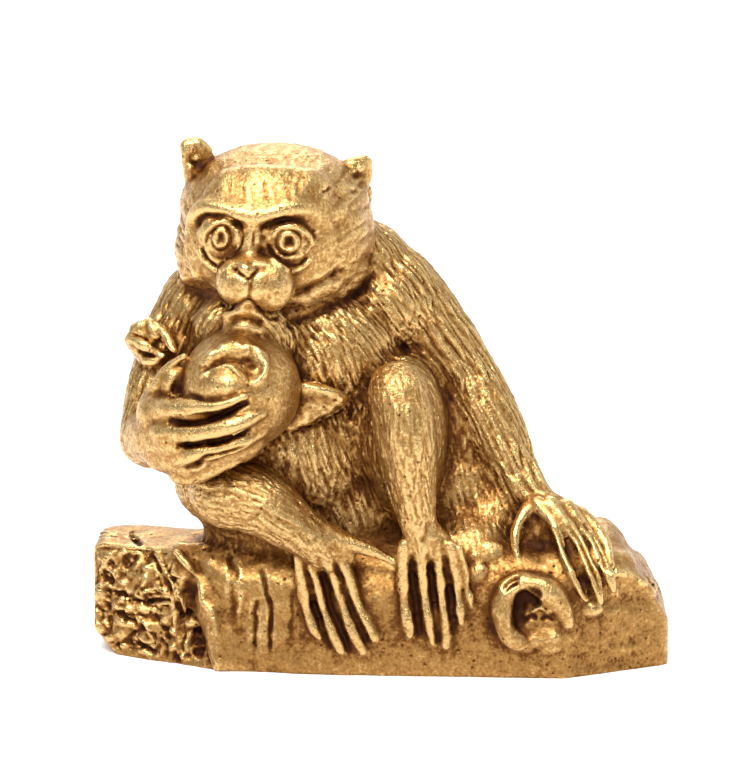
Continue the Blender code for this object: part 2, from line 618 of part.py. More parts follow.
def carve_peach_and_hand(carving):
    """Bite in the peach, pocket by the thumb and slits between the fingers."""
    carving.stroke(
        [(-16.6, 24.6), (-16.1, 26.5), (-14.6, 27.9), (-12.7, 28.2), (-11.1, 27.3), (-10.4, 26.0),
         (-11.0, 24.9), (-11.9, 24.4)],
        0.5, 0.6,
    )
    carving.stroke(
        [(-16.0, 25.8), (-15.0, 26.7), (-13.4, 27.1), (-11.8, 26.6), (-11.2, 25.6), (-11.8, 24.8)],
        0.45, -0.7,
    )
    carving.hollow((-14.3, 24.5), (1.5, 0.95), -0.5)
    carving.hollow((-18.4, 24.6), (0.6, 1.5), 0.9)
    carving.stroke(
        [(-19.2, 21.3), (-17.9, 21.1), (-16.4, 21.2), (-13.8, 22.1), (-11.8, 23.1)],
        0.45, -0.5,
    )
    carving.stroke([(-18.4, 19.0), (-15.5, 19.3), (-13.4, 19.8), (-10.7, 20.8)], 0.45, -0.5)
    carving.stroke(
        [(-17.6, 17.1), (-16.4, 17.4), (-15.5, 18.1), (-13.7, 18.4), (-11.2, 19.4)],
        0.45, -0.5,
    )


def carve_limbs(carving):
    """Ditches between toes and fingers, the hand's arch and the sides of the shin."""
    ditches = (
        [(-6.4, 7.0), (-5.8, 4.1), (-4.5, 0.7)],
        [(-5.0, 6.6), (-4.3, 3.9), (-2.5, 0.3)],
        [(-3.4, 6.6), (-2.8, 4.9), (-1.2, 1.2)],
        [(2.8, 8.8), (3.0, 6.1), (3.6, 1.6)],
        [(4.4, 8.8), (4.7, 6.1), (5.1, 1.2)],
        [(6.0, 8.4), (6.2, 5.2), (6.7, 2.1)],
        [(16.6, 9.3), (17.9, 6.6), (19.2, 5.2)],
        [(18.4, 9.3), (19.5, 7.0), (20.2, 5.7)],
    )
    for ditch in ditches:
        carving.stroke(ditch, 0.4, -0.45)
    carving.hollow((13.9, 11.1), (1.1, 1.9), 0.9)
    carving.stroke([(-0.5, 23.2), (0.3, 18.7), (1.7, 12.4)], 0.9, -0.4)
    carving.stroke([(-17.0, 11.8), (-14.0, 10.8), (-10.7, 10.0), (-7.6, 8.8)], 0.5, -0.5)


def carve_log(carving):
    """Splits of the sawn end, pits behind its lip, the knot's hollow and cracks."""
    splits = (
        [(-22.5, 11.4), (-22.2, 10.9), (-21.7, 10.2)],
        [(-21.4, 10.2), (-20.1, 8.1), (-19.0, 6.1), (-18.3, 4.1), (-18.3, 2.3)],
        [(-25.3, 6.1), (-23.9, 5.9), (-22.3, 5.6)],
        [(-21.4, 4.9), (-20.3, 5.2), (-18.9, 5.2)],
        [(-23.8, 4.1), (-22.8, 3.8), (-21.9, 3.1)],
        [(-22.6, 9.3), (-21.7, 8.8), (-20.6, 8.1)],
        [(-20.8, 4.1), (-19.9, 3.2), (-19.2, 1.6)],
        [(-23.5, 1.6), (-21.7, 1.2), (-20.1, 0.3)],
        [(-10.7, 8.3), (-10.2, 4.3), (-10.1, 0.3)],
    )
    for split in splits:
        carving.stroke(split, 0.5, -0.45)
    ridges = (
        [(-25.5, 6.7), (-24.4, 6.5), (-23.1, 6.1)],
        [(-21.7, 5.8), (-20.6, 6.1), (-19.2, 6.0)],
        [(-25.3, 4.1), (-22.7, 3.1)],
    )
    for ridge in ridges:
        carving.stroke(ridge, 0.45, 0.35)
    carving.hollow((-17.4, 4.8), (0.9, 3.4), 0.5, turn=-12)
    carving.hollow((13.6, 4.8), (1.7, 1.1), 0.9)
    carving.hollow((12.5, 3.2), (0.6, 1.6), 0.6)


# Fur


def hash_noise(cells, seed):
    """Repeatable values from -1 to 1 for whole-number cells."""
    mixed = cells @ np.array((374761393, 668265263, 2147483647)) + seed * 1274126177
    mixed &= 0xFFFFFFFF
    for shift, factor in ((13, 1274126177), (16, 2246822519)):
        mixed = ((mixed ^ (mixed >> shift)) * factor) & 0xFFFFFFFF
    return ((mixed ^ (mixed >> 15)) & 0xFFFFFF) / float(0x7FFFFF) - 1


def smooth_noise(places, seed):
    """Noise from -1 to 1 that varies smoothly over a distance of one."""
    cells = np.floor(places).astype(np.int64)
    part = places - cells
    part = part * part * (3 - 2 * part)
    total = np.zeros(len(places))
    for corner in np.ndindex(2, 2, 2):
        weight = np.prod(np.where(corner, part, 1 - part), axis=1)
        total += weight * hash_noise(cells + np.array(corner), seed)
    return total


def comb_fur(obj):
    """Coarse locks of fur that run along the limbs and down the back."""
    combs = (  # root and tip of the line that the hair follows, its reach and its thickness
        ((-0.1, 36.7, -2), (8.0, 25.9, -3), 4.2, 1.1),
        ((8.0, 25.9, -3), (14.3, 14.2, -6), 4.0, 1.0),
        ((-14.9, 34.9, -5), (-19.9, 25.9, -5), 3.8, 1.0),
        ((-7.6, 31.1, -8), (-3.2, 23.2, -7), 4.0, 0.9),
        ((-6.4, 20.5, -8), (-2.8, 11.5, -8), 4.0, 0.6),
        ((-7.3, 36.7, 8), (-3.2, 16.0, 8), 10.0, 1.1),
    )
    points = read_vectors(obj.data.vertices, "co")
    normals = read_vectors(obj.data.vertices, "normal")
    height = np.zeros(len(points))
    for seed, (root, tip, reach, thickness) in enumerate(combs):
        root = place(*root)
        lie = place(*tip) - root
        along = (points - np.array(root)) @ np.array(lie) / lie.length_squared
        foot = np.array(root) + np.clip(along, 0, 1)[:, None] * np.array(lie)
        near = np.exp(-((np.linalg.norm(points - foot, axis=1) / reach) ** 4))
        side = lie.orthogonal().normalized()
        other = side.cross(lie.normalized())
        across = points @ np.array((side, other)).T / LOCK_WIDTH
        lock = np.column_stack([along * lie.length / LOCK_LENGTH, across])
        height += thickness * near * (np.abs(smooth_noise(lock, seed)) - 0.3)
    write_points(obj.data, points + normals * height[:, None])


# The finished casting


def keep_outer_skin(obj):
    """Removes closed bubbles left inside the fused clay."""
    bm = bmesh.new()
    bm.from_mesh(obj.data)
    unseen = set(bm.verts)
    skins = []
    while unseen:
        stack = [unseen.pop()]
        skin = list(stack)
        while stack:
            for edge in stack.pop().link_edges:
                for vert in edge.verts:
                    if vert in unseen:
                        unseen.remove(vert)
                        stack.append(vert)
                        skin.append(vert)
        skins.append(skin)
    skins.sort(key=len)
    for skin in skins[:-1]:
        bmesh.ops.delete(bm, geom=skin, context="VERTS")
    bm.to_mesh(obj.data)
    bm.free()


def thin_out(obj):
    """Fewer, larger triangles where the skin is plain."""
    triangles = sum(len(face.vertices) - 2 for face in obj.data.polygons)
    decimate = obj.modifiers.new("thin", "DECIMATE")
    decimate.ratio = TRIANGLES / triangles
    apply_modifiers(obj)


def cut_flat_base(obj):
    bm = bmesh.new()
    bm.from_mesh(obj.data)
    saw_off(bm, (0, 0, 0), (0, 0, -1))
    bmesh.ops.triangulate(bm, faces=bm.faces[:])
    bmesh.ops.recalc_face_normals(bm, faces=bm.faces[:])
    bm.to_mesh(obj.data)
    bm.free()


def centre_in_metres(obj):
    """Middle of the plan on the origin, underside at height zero, in metres."""
    points = read_vectors(obj.data.vertices, "co")
    middle = (points.min(0) + points.max(0)) / 2
    middle[2] = 0
    write_points(obj.data, (points - middle) * METRE)


def brass():
    material = bpy.data.materials.new("brass")
    material.use_nodes = True
    shader = material.node_tree.nodes["Principled BSDF"]
    shader.inputs["Base Color"].default_value = BRASS_COLOUR
    shader.inputs["Roughness"].default_value = BRASS_ROUGHNESS
    shader.inputs["Metallic"].default_value = BRASS_METALLIC
    return material


def make_figure():
    masses = Clay()
    for add in (add_log, add_body, add_arms, add_legs, add_head, add_tail):
        add(masses)
    forms = Clay(masses.fuse("masses", MASS_GRAIN, MASS_SMOOTHING))
    for add in (add_face, add_ruff, add_peach, add_palms):
        add(forms)
    fine = Clay(forms.fuse("forms", FORM_GRAIN, FORM_SMOOTHING))
    for add in (add_ears_and_eyes, add_fingers_on_peach, add_fingers_on_log, add_toes):
        add(fine)
    add_leaves(fine)
    add_log_details(fine)
    figure = fine.fuse("monkey_figure", FINE_GRAIN, FINE_SMOOTHING)
    keep_outer_skin(figure)
    carving = Carving(figure)
    for carve in (carve_head, carve_peach_and_hand, carve_limbs, carve_log):
        carve(carving)
    comb_fur(figure)
    thin_out(figure)
    cut_flat_base(figure)
    centre_in_metres(figure)
    figure.data.shade_smooth()
    figure.data.set_sharp_from_angle(angle=math.radians(60))
    figure.data.materials.clear()
    figure.data.materials.append(brass())
    return figure


for old in list(bpy.data.objects):
    bpy.data.objects.remove(old)
make_figure()
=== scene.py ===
"""Small brass monkey on a log with a peach: the cast surface, the stage and the camera.

The settings are in metres. The modelling is in millimetres until the casting is put in
its place. The figure is laid out on a front drawing. A place on it is (x, h, y): x across
and h up on the drawing, as an eye EYE_DISTANCE away and EYE_TILT degrees above the level
sees them, and y the depth, with the front of the figure towards minus y.
"""
import math

import bpy
import numpy as np
from mathutils import Euler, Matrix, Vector


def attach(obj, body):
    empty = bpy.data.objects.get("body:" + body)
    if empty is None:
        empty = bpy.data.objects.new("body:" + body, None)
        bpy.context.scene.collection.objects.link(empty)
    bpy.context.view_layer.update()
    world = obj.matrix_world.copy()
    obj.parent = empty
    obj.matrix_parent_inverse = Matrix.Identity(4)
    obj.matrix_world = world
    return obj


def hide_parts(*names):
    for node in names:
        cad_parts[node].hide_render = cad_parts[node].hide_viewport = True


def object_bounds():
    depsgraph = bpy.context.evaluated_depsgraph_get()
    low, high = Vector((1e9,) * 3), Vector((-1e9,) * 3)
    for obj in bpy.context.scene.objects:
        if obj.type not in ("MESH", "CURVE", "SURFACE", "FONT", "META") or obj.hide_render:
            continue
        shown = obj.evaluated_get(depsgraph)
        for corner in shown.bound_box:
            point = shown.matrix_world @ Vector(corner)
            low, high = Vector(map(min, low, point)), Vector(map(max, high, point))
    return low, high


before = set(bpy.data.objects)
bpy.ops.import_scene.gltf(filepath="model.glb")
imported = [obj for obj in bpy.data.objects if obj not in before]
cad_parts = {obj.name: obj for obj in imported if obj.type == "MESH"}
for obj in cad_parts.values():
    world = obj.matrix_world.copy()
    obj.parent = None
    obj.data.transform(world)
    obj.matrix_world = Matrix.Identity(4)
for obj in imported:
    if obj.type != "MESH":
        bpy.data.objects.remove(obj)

CAD_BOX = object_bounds()

bl_info = {
    "name": "Brass Monkey",
    "version": (1, 0, 0),
    "blender": (4, 5, 0),
    "location": "View3D > Sidebar > Brass Monkey",
    "description": "Cast brass monkey that sits on a log with a peach, with its stage",
    "category": "Add Mesh",
}

MILLIMETRE = 0.001
FIGURE = "monkey_casting"

# Front drawing
EYE_DISTANCE = 400.0
EYE_TILT = 12.0
DRAWING_CENTRE = (-0.54, 24.56)
PIXEL = 0.09
PICTURE_HEIGHT = 770

# Slopes of the log in degrees
LOG_FALL = 2.6
LOG_YAW = 3.5

TILT = math.radians(EYE_TILT)
SIGHT = Vector((0, math.cos(TILT), -math.sin(TILT)))
ACROSS = Vector((1, 0, 0))
UPWARD = Vector((0, math.sin(TILT), math.cos(TILT)))
MIDDLE = Vector((DRAWING_CENTRE[0], 0, DRAWING_CENTRE[1]))
EYE = MIDDLE - EYE_DISTANCE * SIGHT

# Lamps: place from the figure's middle, and width, in metres
FRONT_LAMP = ((-0.10, -0.46, 0.62), 0.42)
SIDE_LAMP = ((0.40, -0.05, 0.18), 0.25)
BACK_LAMP = ((0, 1.0, 0.95), 0.8)
SKY_TURN = (35, 0, -25)
SKY_WIDTH = 60

# Rounds of smoothing behind each measure of how deep a hollow lies; the brass reads them for patina, and
# recess and pocket also for painted shade
HOLLOWS = {"groove": 8, "hollow": 60, "recess": 300, "pocket": 900}

# Distance that is further than any on the figure
FAR = 1e9


def length(name, description, default):
    """Length setting with its default in millimetres."""
    return bpy.props.FloatProperty(
        name=name, description=description, default=default * MILLIMETRE, min=0,
        unit="LENGTH", precision=5,
    )


def colour(name, description, default):
    return bpy.props.FloatVectorProperty(
        name=name, description=description, default=default, size=3, min=0, max=1,
        subtype="COLOR",
    )


def amount(name, description, default):
    return bpy.props.FloatProperty(
        name=name, description=description, default=default, min=0, max=1, subtype="FACTOR",
    )


class MonkeySettings(bpy.types.PropertyGroup):
    """Sizes of the casting and colours of its brass"""

    log_length: length("Log length", "Length of the log", 51.5)
    log_width: length("Log width", "Depth of the log from front to back", 18.4)
    log_height: length("Log height", "Height of the log's top", 11.25)
    log_edge: length("Log edge", "Radius of the log's long edges", 5.0)
    peach_radius: length("Peach", "Radius of the peach", 5.35)
    shin_radius: length("Shins", "Radius of the shins", 2.8)
    arm_radius: length("Arms", "Radius of the arms", 3.2)
    digit_radius: length("Digits", "Radius of the fingers and toes", 0.64)
    brow_radius: length("Brow", "Radius of the brow's ridge", 0.92)
    mass_grain: length("Mass grain", "Fineness of the clay for the large masses", 0.4)
    form_grain: length("Form grain", "Fineness of the clay for the forms", 0.26)
    fine_grain: length("Fine grain", "Fineness of the clay for the features", 0.165)
    triangles: bpy.props.IntProperty(
        name="Triangles", description="Most triangles that the casting may have",
        default=192000, min=1000,
    )
    gold: colour("Worn brass", "Brass on the worn ridges", (0.70, 0.47, 0.19))
    brass: colour("Brass", "Brass on the plain surfaces", (0.39, 0.207, 0.061))
    # Tarnish and dirt are partly real patina in the grooves and partly painted shade in the deep recesses
    # and towards the bottom
    tarnish_and_painted_shade: colour("Tarnish", "Brown film on the sides of the hollows", (0.15, 0.055, 0.012))
    dirt_and_painted_shade: colour("Dirt", "Dark deposit in the grooves", (0.046, 0.012, 0.002))
    polish: amount("Polish", "How smooth the worn brass is", 0.75)
    floor: colour("Floor", "Colour of the floor", (0.90, 0.885, 0.895))
    floor_glow: amount("Floor glow", "Light that the floor gives off in front", 0.14)
    backdrop_glow: amount("Backdrop glow", "Light that the floor gives off far behind", 0.8)
    room_front: amount("Room in front", "Even light from the front half of the room", 0.12)
    room_back: amount("Room behind", "Even light from the back half of the room", 1.0)
    front_light: bpy.props.FloatProperty(
        name="Front light", description="Power of the soft light above the camera",
        default=7.0, min=0, unit="POWER",
    )
    sky_light: bpy.props.FloatProperty(
        name="Sky light", description="Strength of the wide light over the whole floor",
        default=0.78, min=0,
    )
    back_light: bpy.props.FloatProperty(
        name="Back light", description="Power of the wide light over the floor behind",
        default=8.0, min=0, unit="POWER",
    )
    side_light: bpy.props.FloatProperty(
        name="Side light", description="Power of the soft light on the right",
        default=0.3, min=0, unit="POWER",
    )


def size(name):
    """A setting in millimetres."""
    return getattr(bpy.context.scene.monkey, name) / MILLIMETRE


# Places on the drawing


def place(x, h, y):
    """Model place of a point of the drawing at depth y."""
    ray = SIGHT + ACROSS * ((x - DRAWING_CENTRE[0]) / EYE_DISTANCE)
    ray = ray + UPWARD * ((h - DRAWING_CENTRE[1]) / EYE_DISTANCE)
    return EYE + ray * ((y - EYE.y) / ray.y)


def on_drawing(points):
    """Drawing coordinates x, h and the distance from the eye of model points."""
    from_eye = points - np.array(EYE)
    distance = from_eye @ np.array(SIGHT)
    x = from_eye[:, 0] / distance * EYE_DISTANCE + DRAWING_CENTRE[0]
    h = from_eye @ np.array(UPWARD) / distance * EYE_DISTANCE + DRAWING_CENTRE[1]
    return x, h, distance


def log_front(x):
    """Depth of the log's front face at x."""
    return float(np.interp(x, (-15.6, -7.0, 15.7), (-7.0, -8.7, -10.1)))


# Clay


def select_only(*objects):
    bpy.ops.object.select_all(action="DESELECT")
    for obj in objects:
        obj.select_set(True)
    bpy.context.view_layer.objects.active = objects[0]


def apply_modifier(obj, kind, **values):
    select_only(obj)
    modifier = obj.modifiers.new(kind.lower(), kind)
    for name, value in values.items():
        setattr(modifier, name, value)
    bpy.ops.object.modifier_apply(modifier=modifier.name)


class Clay:
    """Closed lumps that are pressed together and then fused into one skin."""

    def __init__(self, start=None, bones=()):
        self.lumps = [start] if start else []
        self.coat = "fur"
        self.bones = list(bones)

    def ball(self, centre, radii, turn=0.0, fine=3):
        """Ellipsoid, turned about the depth axis by turn degrees."""
        centre = place(*centre)
        bpy.ops.mesh.primitive_ico_sphere_add(
            subdivisions=fine, radius=1, location=centre, scale=radii,
            rotation=(0, math.radians(turn), 0),
        )
        self.lumps.append(bpy.context.object)
        thick = min(radii)
        reach = Vector([radius - thick for radius in radii])
        reach.rotate(bpy.context.object.rotation_euler)
        self.bones.append((self.coat, centre - reach, centre + reach, thick, thick))

    def limb(self, *stations):
        """Round limb through stations (x, h, y, radius), with round ends."""
        bpy.ops.curve.primitive_bezier_curve_add()
        curve = bpy.context.object.data
        curve.bevel_depth = 1.0
        curve.bevel_resolution = 5
        curve.resolution_u = 8
        curve.use_fill_caps = True
        spline = curve.splines[0]
        spline.radius_interpolation = "CARDINAL"
        spline.bezier_points.add(len(stations) - 2)
        for point, (x, h, y, radius) in zip(spline.bezier_points, stations):
            point.co = place(x, h, y)
            point.radius = radius
            point.handle_left_type = "AUTO"
            point.handle_right_type = "AUTO"
        bpy.ops.object.convert(target="MESH")
        self.lumps.append(bpy.context.object)
        for x, h, y, radius in (stations[0], stations[-1]):
            self.ball((x, h, y), (radius, radius, radius), fine=2)
        for start, end in zip(stations, stations[1:]):
            ends = (place(*start[:3]), place(*end[:3]))
            self.bones.append((self.coat, *ends, start[3], end[3]))

    def block(self, *corners):
        """Rounded block: the tight skin round balls at corners (x, h, y, radius)."""
        x, h, y, radius = corners[0]
        bpy.ops.mesh.primitive_ico_sphere_add(
            subdivisions=2, radius=radius, location=place(x, h, y))
        self.lumps.append(bpy.context.object)
        bpy.ops.object.mode_set(mode="EDIT")
        for x, h, y, radius in corners[1:]:
            bpy.ops.mesh.primitive_ico_sphere_add(
                subdivisions=2, radius=radius, location=place(x, h, y))
        bpy.ops.mesh.select_all(action="SELECT")
        bpy.ops.mesh.convex_hull()
        bpy.ops.object.mode_set(mode="OBJECT")
        for x, h, y, radius in corners:
            centre = place(x, h, y)
            self.bones.append((self.coat, centre, centre, radius, radius))

    def fuse(self, name, grain, smoothing):
        """One object whose skin is the outside of all the lumps."""
        select_only(*self.lumps)
        bpy.ops.object.join()
        fused = bpy.context.object
        fused.name = name
        bpy.ops.object.transform_apply()
        apply_modifier(fused, "REMESH", mode="VOXEL", voxel_size=grain)
        apply_modifier(fused, "SMOOTH", iterations=smoothing)
        return fused


# The log


SAWN_FACE = (-0.47, -0.88, 0.05)

# A point of each sawn or broken plane of the log, and its direction away from the log
LOG_CUTS = (
    ((0.0, 9.2, 0), (0, 1, 0.06)),
    ((-15.6, -6.7, 0), SAWN_FACE),
    ((-15.6, -6.9, 0), (-0.19, -0.98, 0)),
    ((-25.9, 3.0, 0), (-1, 0.05, 0)),
    ((-22.5, 9.0, 0), (-0.7, 0.7, 0)),
    ((-25.1, 3.0, 10.6), (-0.62, 0, 0.78)),
    ((-25.45, 0.0, 1.5), (-0.8, 0, -0.6)),
    ((-20.0, 6.0, 9.95), (0.05, 0.25, 1)),
    ((25.9, 0.0, 0), (1, 0, 0)),
    ((21.2, 2.0, 12.0), (0.853, 0, 0.52)),
    ((22.2, -6.0, 9.5), (0.62, -0.55, 0.56)),
    ((16.6, -9.9, 0), (0.44, -0.9, 0)),
    ((23.0, 9.0, 0), (0.7, 0.7, 0)),
)


def add_log(clay):
    """Squared log with round edges, sawn at the left end and broken at the right."""
    clay.coat = "wood"
    bulk = Vector((1.3 * size("log_length"), 1.1 * size("log_width"), 1.4 * size("log_height")))
    turn = Euler((0, math.radians(-LOG_FALL), math.radians(-LOG_YAW)))
    middle = Vector((0, 0.05 * size("log_width"), size("log_height") - bulk.z / 2))
    middle.rotate(turn)
    bpy.ops.mesh.primitive_cube_add(size=1, location=middle, rotation=turn, scale=bulk)
    log = bpy.context.object
    bpy.ops.object.transform_apply()
    mesh = log.data
    bpy.ops.object.mode_set(mode="EDIT")
    bpy.ops.mesh.select_mode(type="EDGE")
    bpy.ops.mesh.select_all(action="DESELECT")
    bpy.ops.object.mode_set(mode="OBJECT")
    for edge in mesh.edges:
        start, end = (mesh.vertices[index].co for index in edge.vertices)
        edge.select = (end - start).length > size("log_length")
    bpy.ops.object.mode_set(mode="EDIT")
    bpy.ops.mesh.bevel(offset=size("log_edge"), segments=10, profile=0.5, affect="EDGES")
    for point, away in LOG_CUTS:
        bpy.ops.mesh.select_all(action="SELECT")
        bpy.ops.mesh.bisect(plane_co=point, plane_no=away, use_fill=True, clear_outer=True)
    bpy.ops.object.mode_set(mode="OBJECT")
    clay.lumps.append(log)
    core = size("log_height") / 2
    for depth in (-3.4, 3.6):
        clay.bones.append(("wood", place(-22, core, depth), place(22, 1.2 * core, depth), core, core))
    clay.ball((22.8, 1.6, -3.5), (2.6, 3.4, 5.2))
    clay.ball((19.5, 9.4, 1.0), (2.9, 6.0, 3.3))
    clay.ball((22.3, 4.4, -3.0), (2.9, 4.0, 4.0))


def add_log_details(clay):
    """Lip of bark round the sawn end, a healed knot and lumps of bark."""
    clay.coat = "wood"
    clay.block(
        (-18.0, 9.6, -3.6, 0.8), (-16.6, 7.4, -5.5, 0.7), (-15.4, 4.6, -6.6, 0.6),
        (-14.7, 1.6, -7.1, 0.6), (-12.2, 7.4, -5.4, 1.2), (-11.0, 2.0, -6.8, 0.7),
        (-13.0, 9.0, -3.6, 1.2), (-14.6, -0.6, -7.4, 0.6), (-11.0, -0.6, -7.0, 0.7),
    )
    clay.limb(
        (13.4, 1.1, -9.6, 0.7), (12.0, 1.8, -10.0, 1.0), (11.1, 3.5, -10.1, 1.15),
        (11.1, 5.1, -9.8, 1.2), (12.0, 6.4, -9.75, 1.15), (13.4, 6.6, -9.75, 1.15),
        (14.9, 6.0, -9.75, 1.3), (16.1, 4.8, -9.75, 1.1), (16.8, 3.1, -9.8, 0.6),
    )
    clay.ball((15.2, 1.1, -9.6), (1.2, 0.9, 0.7))
    clay.block(
        (13.8, 3.2, -9.2, 0.8), (15.1, 3.4, -9.2, 0.8), (13.8, 1.6, -9.7, 0.8),
        (15.5, 1.8, -9.8, 0.8),
    )
    clay.ball((9.6, 9.1, -7.4), (1.8, 1.0, 1.6))
    clay.ball((8.7, 6.6, -8.8), (1.0, 0.6, 2.0), turn=8)
    clay.ball((18.6, 4.4, -8.7), (1.4, 0.7, 0.8))
    clay.limb(
        (-18.4, 9.5, -4.7, 0.4), (-16.7, 7.4, -6.0, 0.45), (-16.1, 5.3, -6.6, 0.45),
        (-15.1, 3.9, -7.2, 0.4), (-14.8, 2.1, -7.4, 0.3),
    )


# Masses of the body


def add_body(clay):
    """Torso, chest, belly, flank and the filled hollows between the limbs."""
    clay.coat = "fur"
    clay.ball((-4.1, 14.2, 1.5), (9.6, 7.3, 6.5))
    clay.ball((-3.7, 21.4, 1.0), (9.6, 7.0, 9.0))
    clay.ball((-7.3, 30.0, 1.5), (11.0, 6.5, 6.5))
    clay.ball((-2.8, 36.5, 1.8), (3.2, 4.6, 3.9))
    clay.ball((-0.7, 36.2, 1.8), (3.0, 4.6, 3.0))
    clay.ball((-5.3, 27.5, -2.5), (6.6, 4.8, 5.5))
    clay.ball((-8.0, 18.3, -2.2), (7.2, 5.3, 7.2))
    clay.ball((-8.6, 32.2, -1.5), (6.5, 5.5, 5.5))
    clay.ball((-11.1, 29.1, -5.5), (3.8, 4.4, 3.6))
    clay.ball((-13.4, 29.5, -4.5), (3.6, 4.0, 3.4))
    clay.ball((6.8, 14.9, 1.0), (6.0, 5.5, 6.8))
    clay.ball((7.3, 20.5, 1.2), (4.6, 4.4, 7.5))
    clay.ball((10.3, 12.9, 0.0), (4.8, 5.5, 4.8))
    clay.ball((8.0, 8.8, -4.6), (4.6, 4.2, 4.4))
    clay.ball((-15.8, 22.8, -1.0), (4.6, 4.2, 8.0))
    clay.ball((-5.0, 25.8, 2.5), (9.4, 7.2, 6.5))
    clay.ball((-4.2, 17.8, 2.2), (10.0, 7.0, 6.5))
    clay.ball((-4.5, 33.6, 2.2), (6.0, 5.4, 5.0))
    clay.ball((5.0, 17.6, 1.6), (6.4, 5.4, 6.0))
    clay.ball((3.6, 25.6, 2.2), (5.6, 5.0, 7.0))


def add_arms(clay):
    """The propping arm on the right and the arm with the peach on the left."""
    arm = size("arm_radius")
    clay.ball((0.45, 31.8, 1.5), (5.1, 5.35, 5.9))
    clay.limb(
        (1.6, 32.4, 1.5, 1.33 * arm), (6.4, 27.2, 1.0, arm), (10.1, 20.8, -1.0, 0.9 * arm),
        (12.6, 15.7, -2.8, 0.7 * arm), (14.6, 13.5, -4.2, 0.55 * arm),
    )
    clay.ball((-15.7, 30.7, 0.5), (4.6, 4.8, 5.3))
    clay.limb(
        (-17.1, 29.6, 0.0, 1.27 * arm), (-19.5, 25.2, -2.0, arm), (-20.8, 20.1, -4.0, 0.9 * arm),
    )


def add_legs(clay):
    """The raised knee and shin, and the folded leg that lies over the log."""
    shin = size("shin_radius")
    clay.ball((2.1, 20.0, -4.0), (3.8, 5.2, 7.4))
    clay.limb(
        (1.5, 24.1, -8.2, shin), (2.1, 20.5, -9.2, shin), (2.7, 16.0, -9.3, 0.85 * shin),
        (3.4, 12.0, -9.5, 0.62 * shin), (4.0, 9.5, -9.3, 0.58 * shin),
    )
    clay.limb(
        (-15.8, 15.9, -4.5, 0.7 * shin), (-14.3, 14.9, -6.8, 1.1 * shin),
        (-11.6, 14.3, -8.2, 1.1 * shin), (-8.4, 12.2, -9.0, 0.9 * shin),
        (-5.7, 10.1, -9.3, 0.66 * shin), (-4.8, 8.6, -9.2, 0.5 * shin),
    )
    clay.block(
        (-14.6, 14.8, -2, 2.2), (-11.8, 13.1, -3, 3.0), (-7.3, 11.5, -4, 3.0),
        (-12.7, 10.6, -2, 3.0),
    )
    clay.ball((-11.8, 15.9, -2.5), (6.9, 6.0, 4.6))


def add_head(clay):
    """Skull, steep forehead and the ruff of hair at the jaw."""
    clay.coat = "head"
    clay.ball((-9.5, 38.1, -1.5), (8.7, 7.9, 8.0))
    clay.ball((-9.6, 41.0, -1.0), (8.5, 7.1, 5.4))
    clay.block(
        (-12.7, 42.5, -5.8, 1.9), (-6.2, 42.3, -5.8, 1.9), (-13.8, 40.3, -6.6, 1.9),
        (-6.2, 40.1, -6.8, 1.9),
    )
    clay.block(
        (-2.8, 41.2, -0.6, 2.0), (-2.4, 37.6, -0.8, 2.0), (-2.7, 35.1, -1.6, 2.0),
        (-5.5, 33.1, -3.6, 2.0), (-5.0, 37.6, -3, 3.0),
    )
    clay.ball((-16.0, 36.5, -2.0), (2.6, 4.0, 3.2))


def add_tail(clay):
    """Tail that lies along the back of the log."""
    clay.coat = "fur"
    clay.limb(
        (-0.1, 14.4, 8.2, 1.9), (2.2, 11.1, 9.0, 1.6), (5.8, 8.3, 9.2, 1.4),
        (10.0, 7.4, 9.2, 1.25), (13.4, 8.8, 9.1, 1.1), (14.3, 10.6, 9.0, 1.0),
        (13.1, 11.9, 9.0, 0.8),
    )


# Forms that melt into the masses


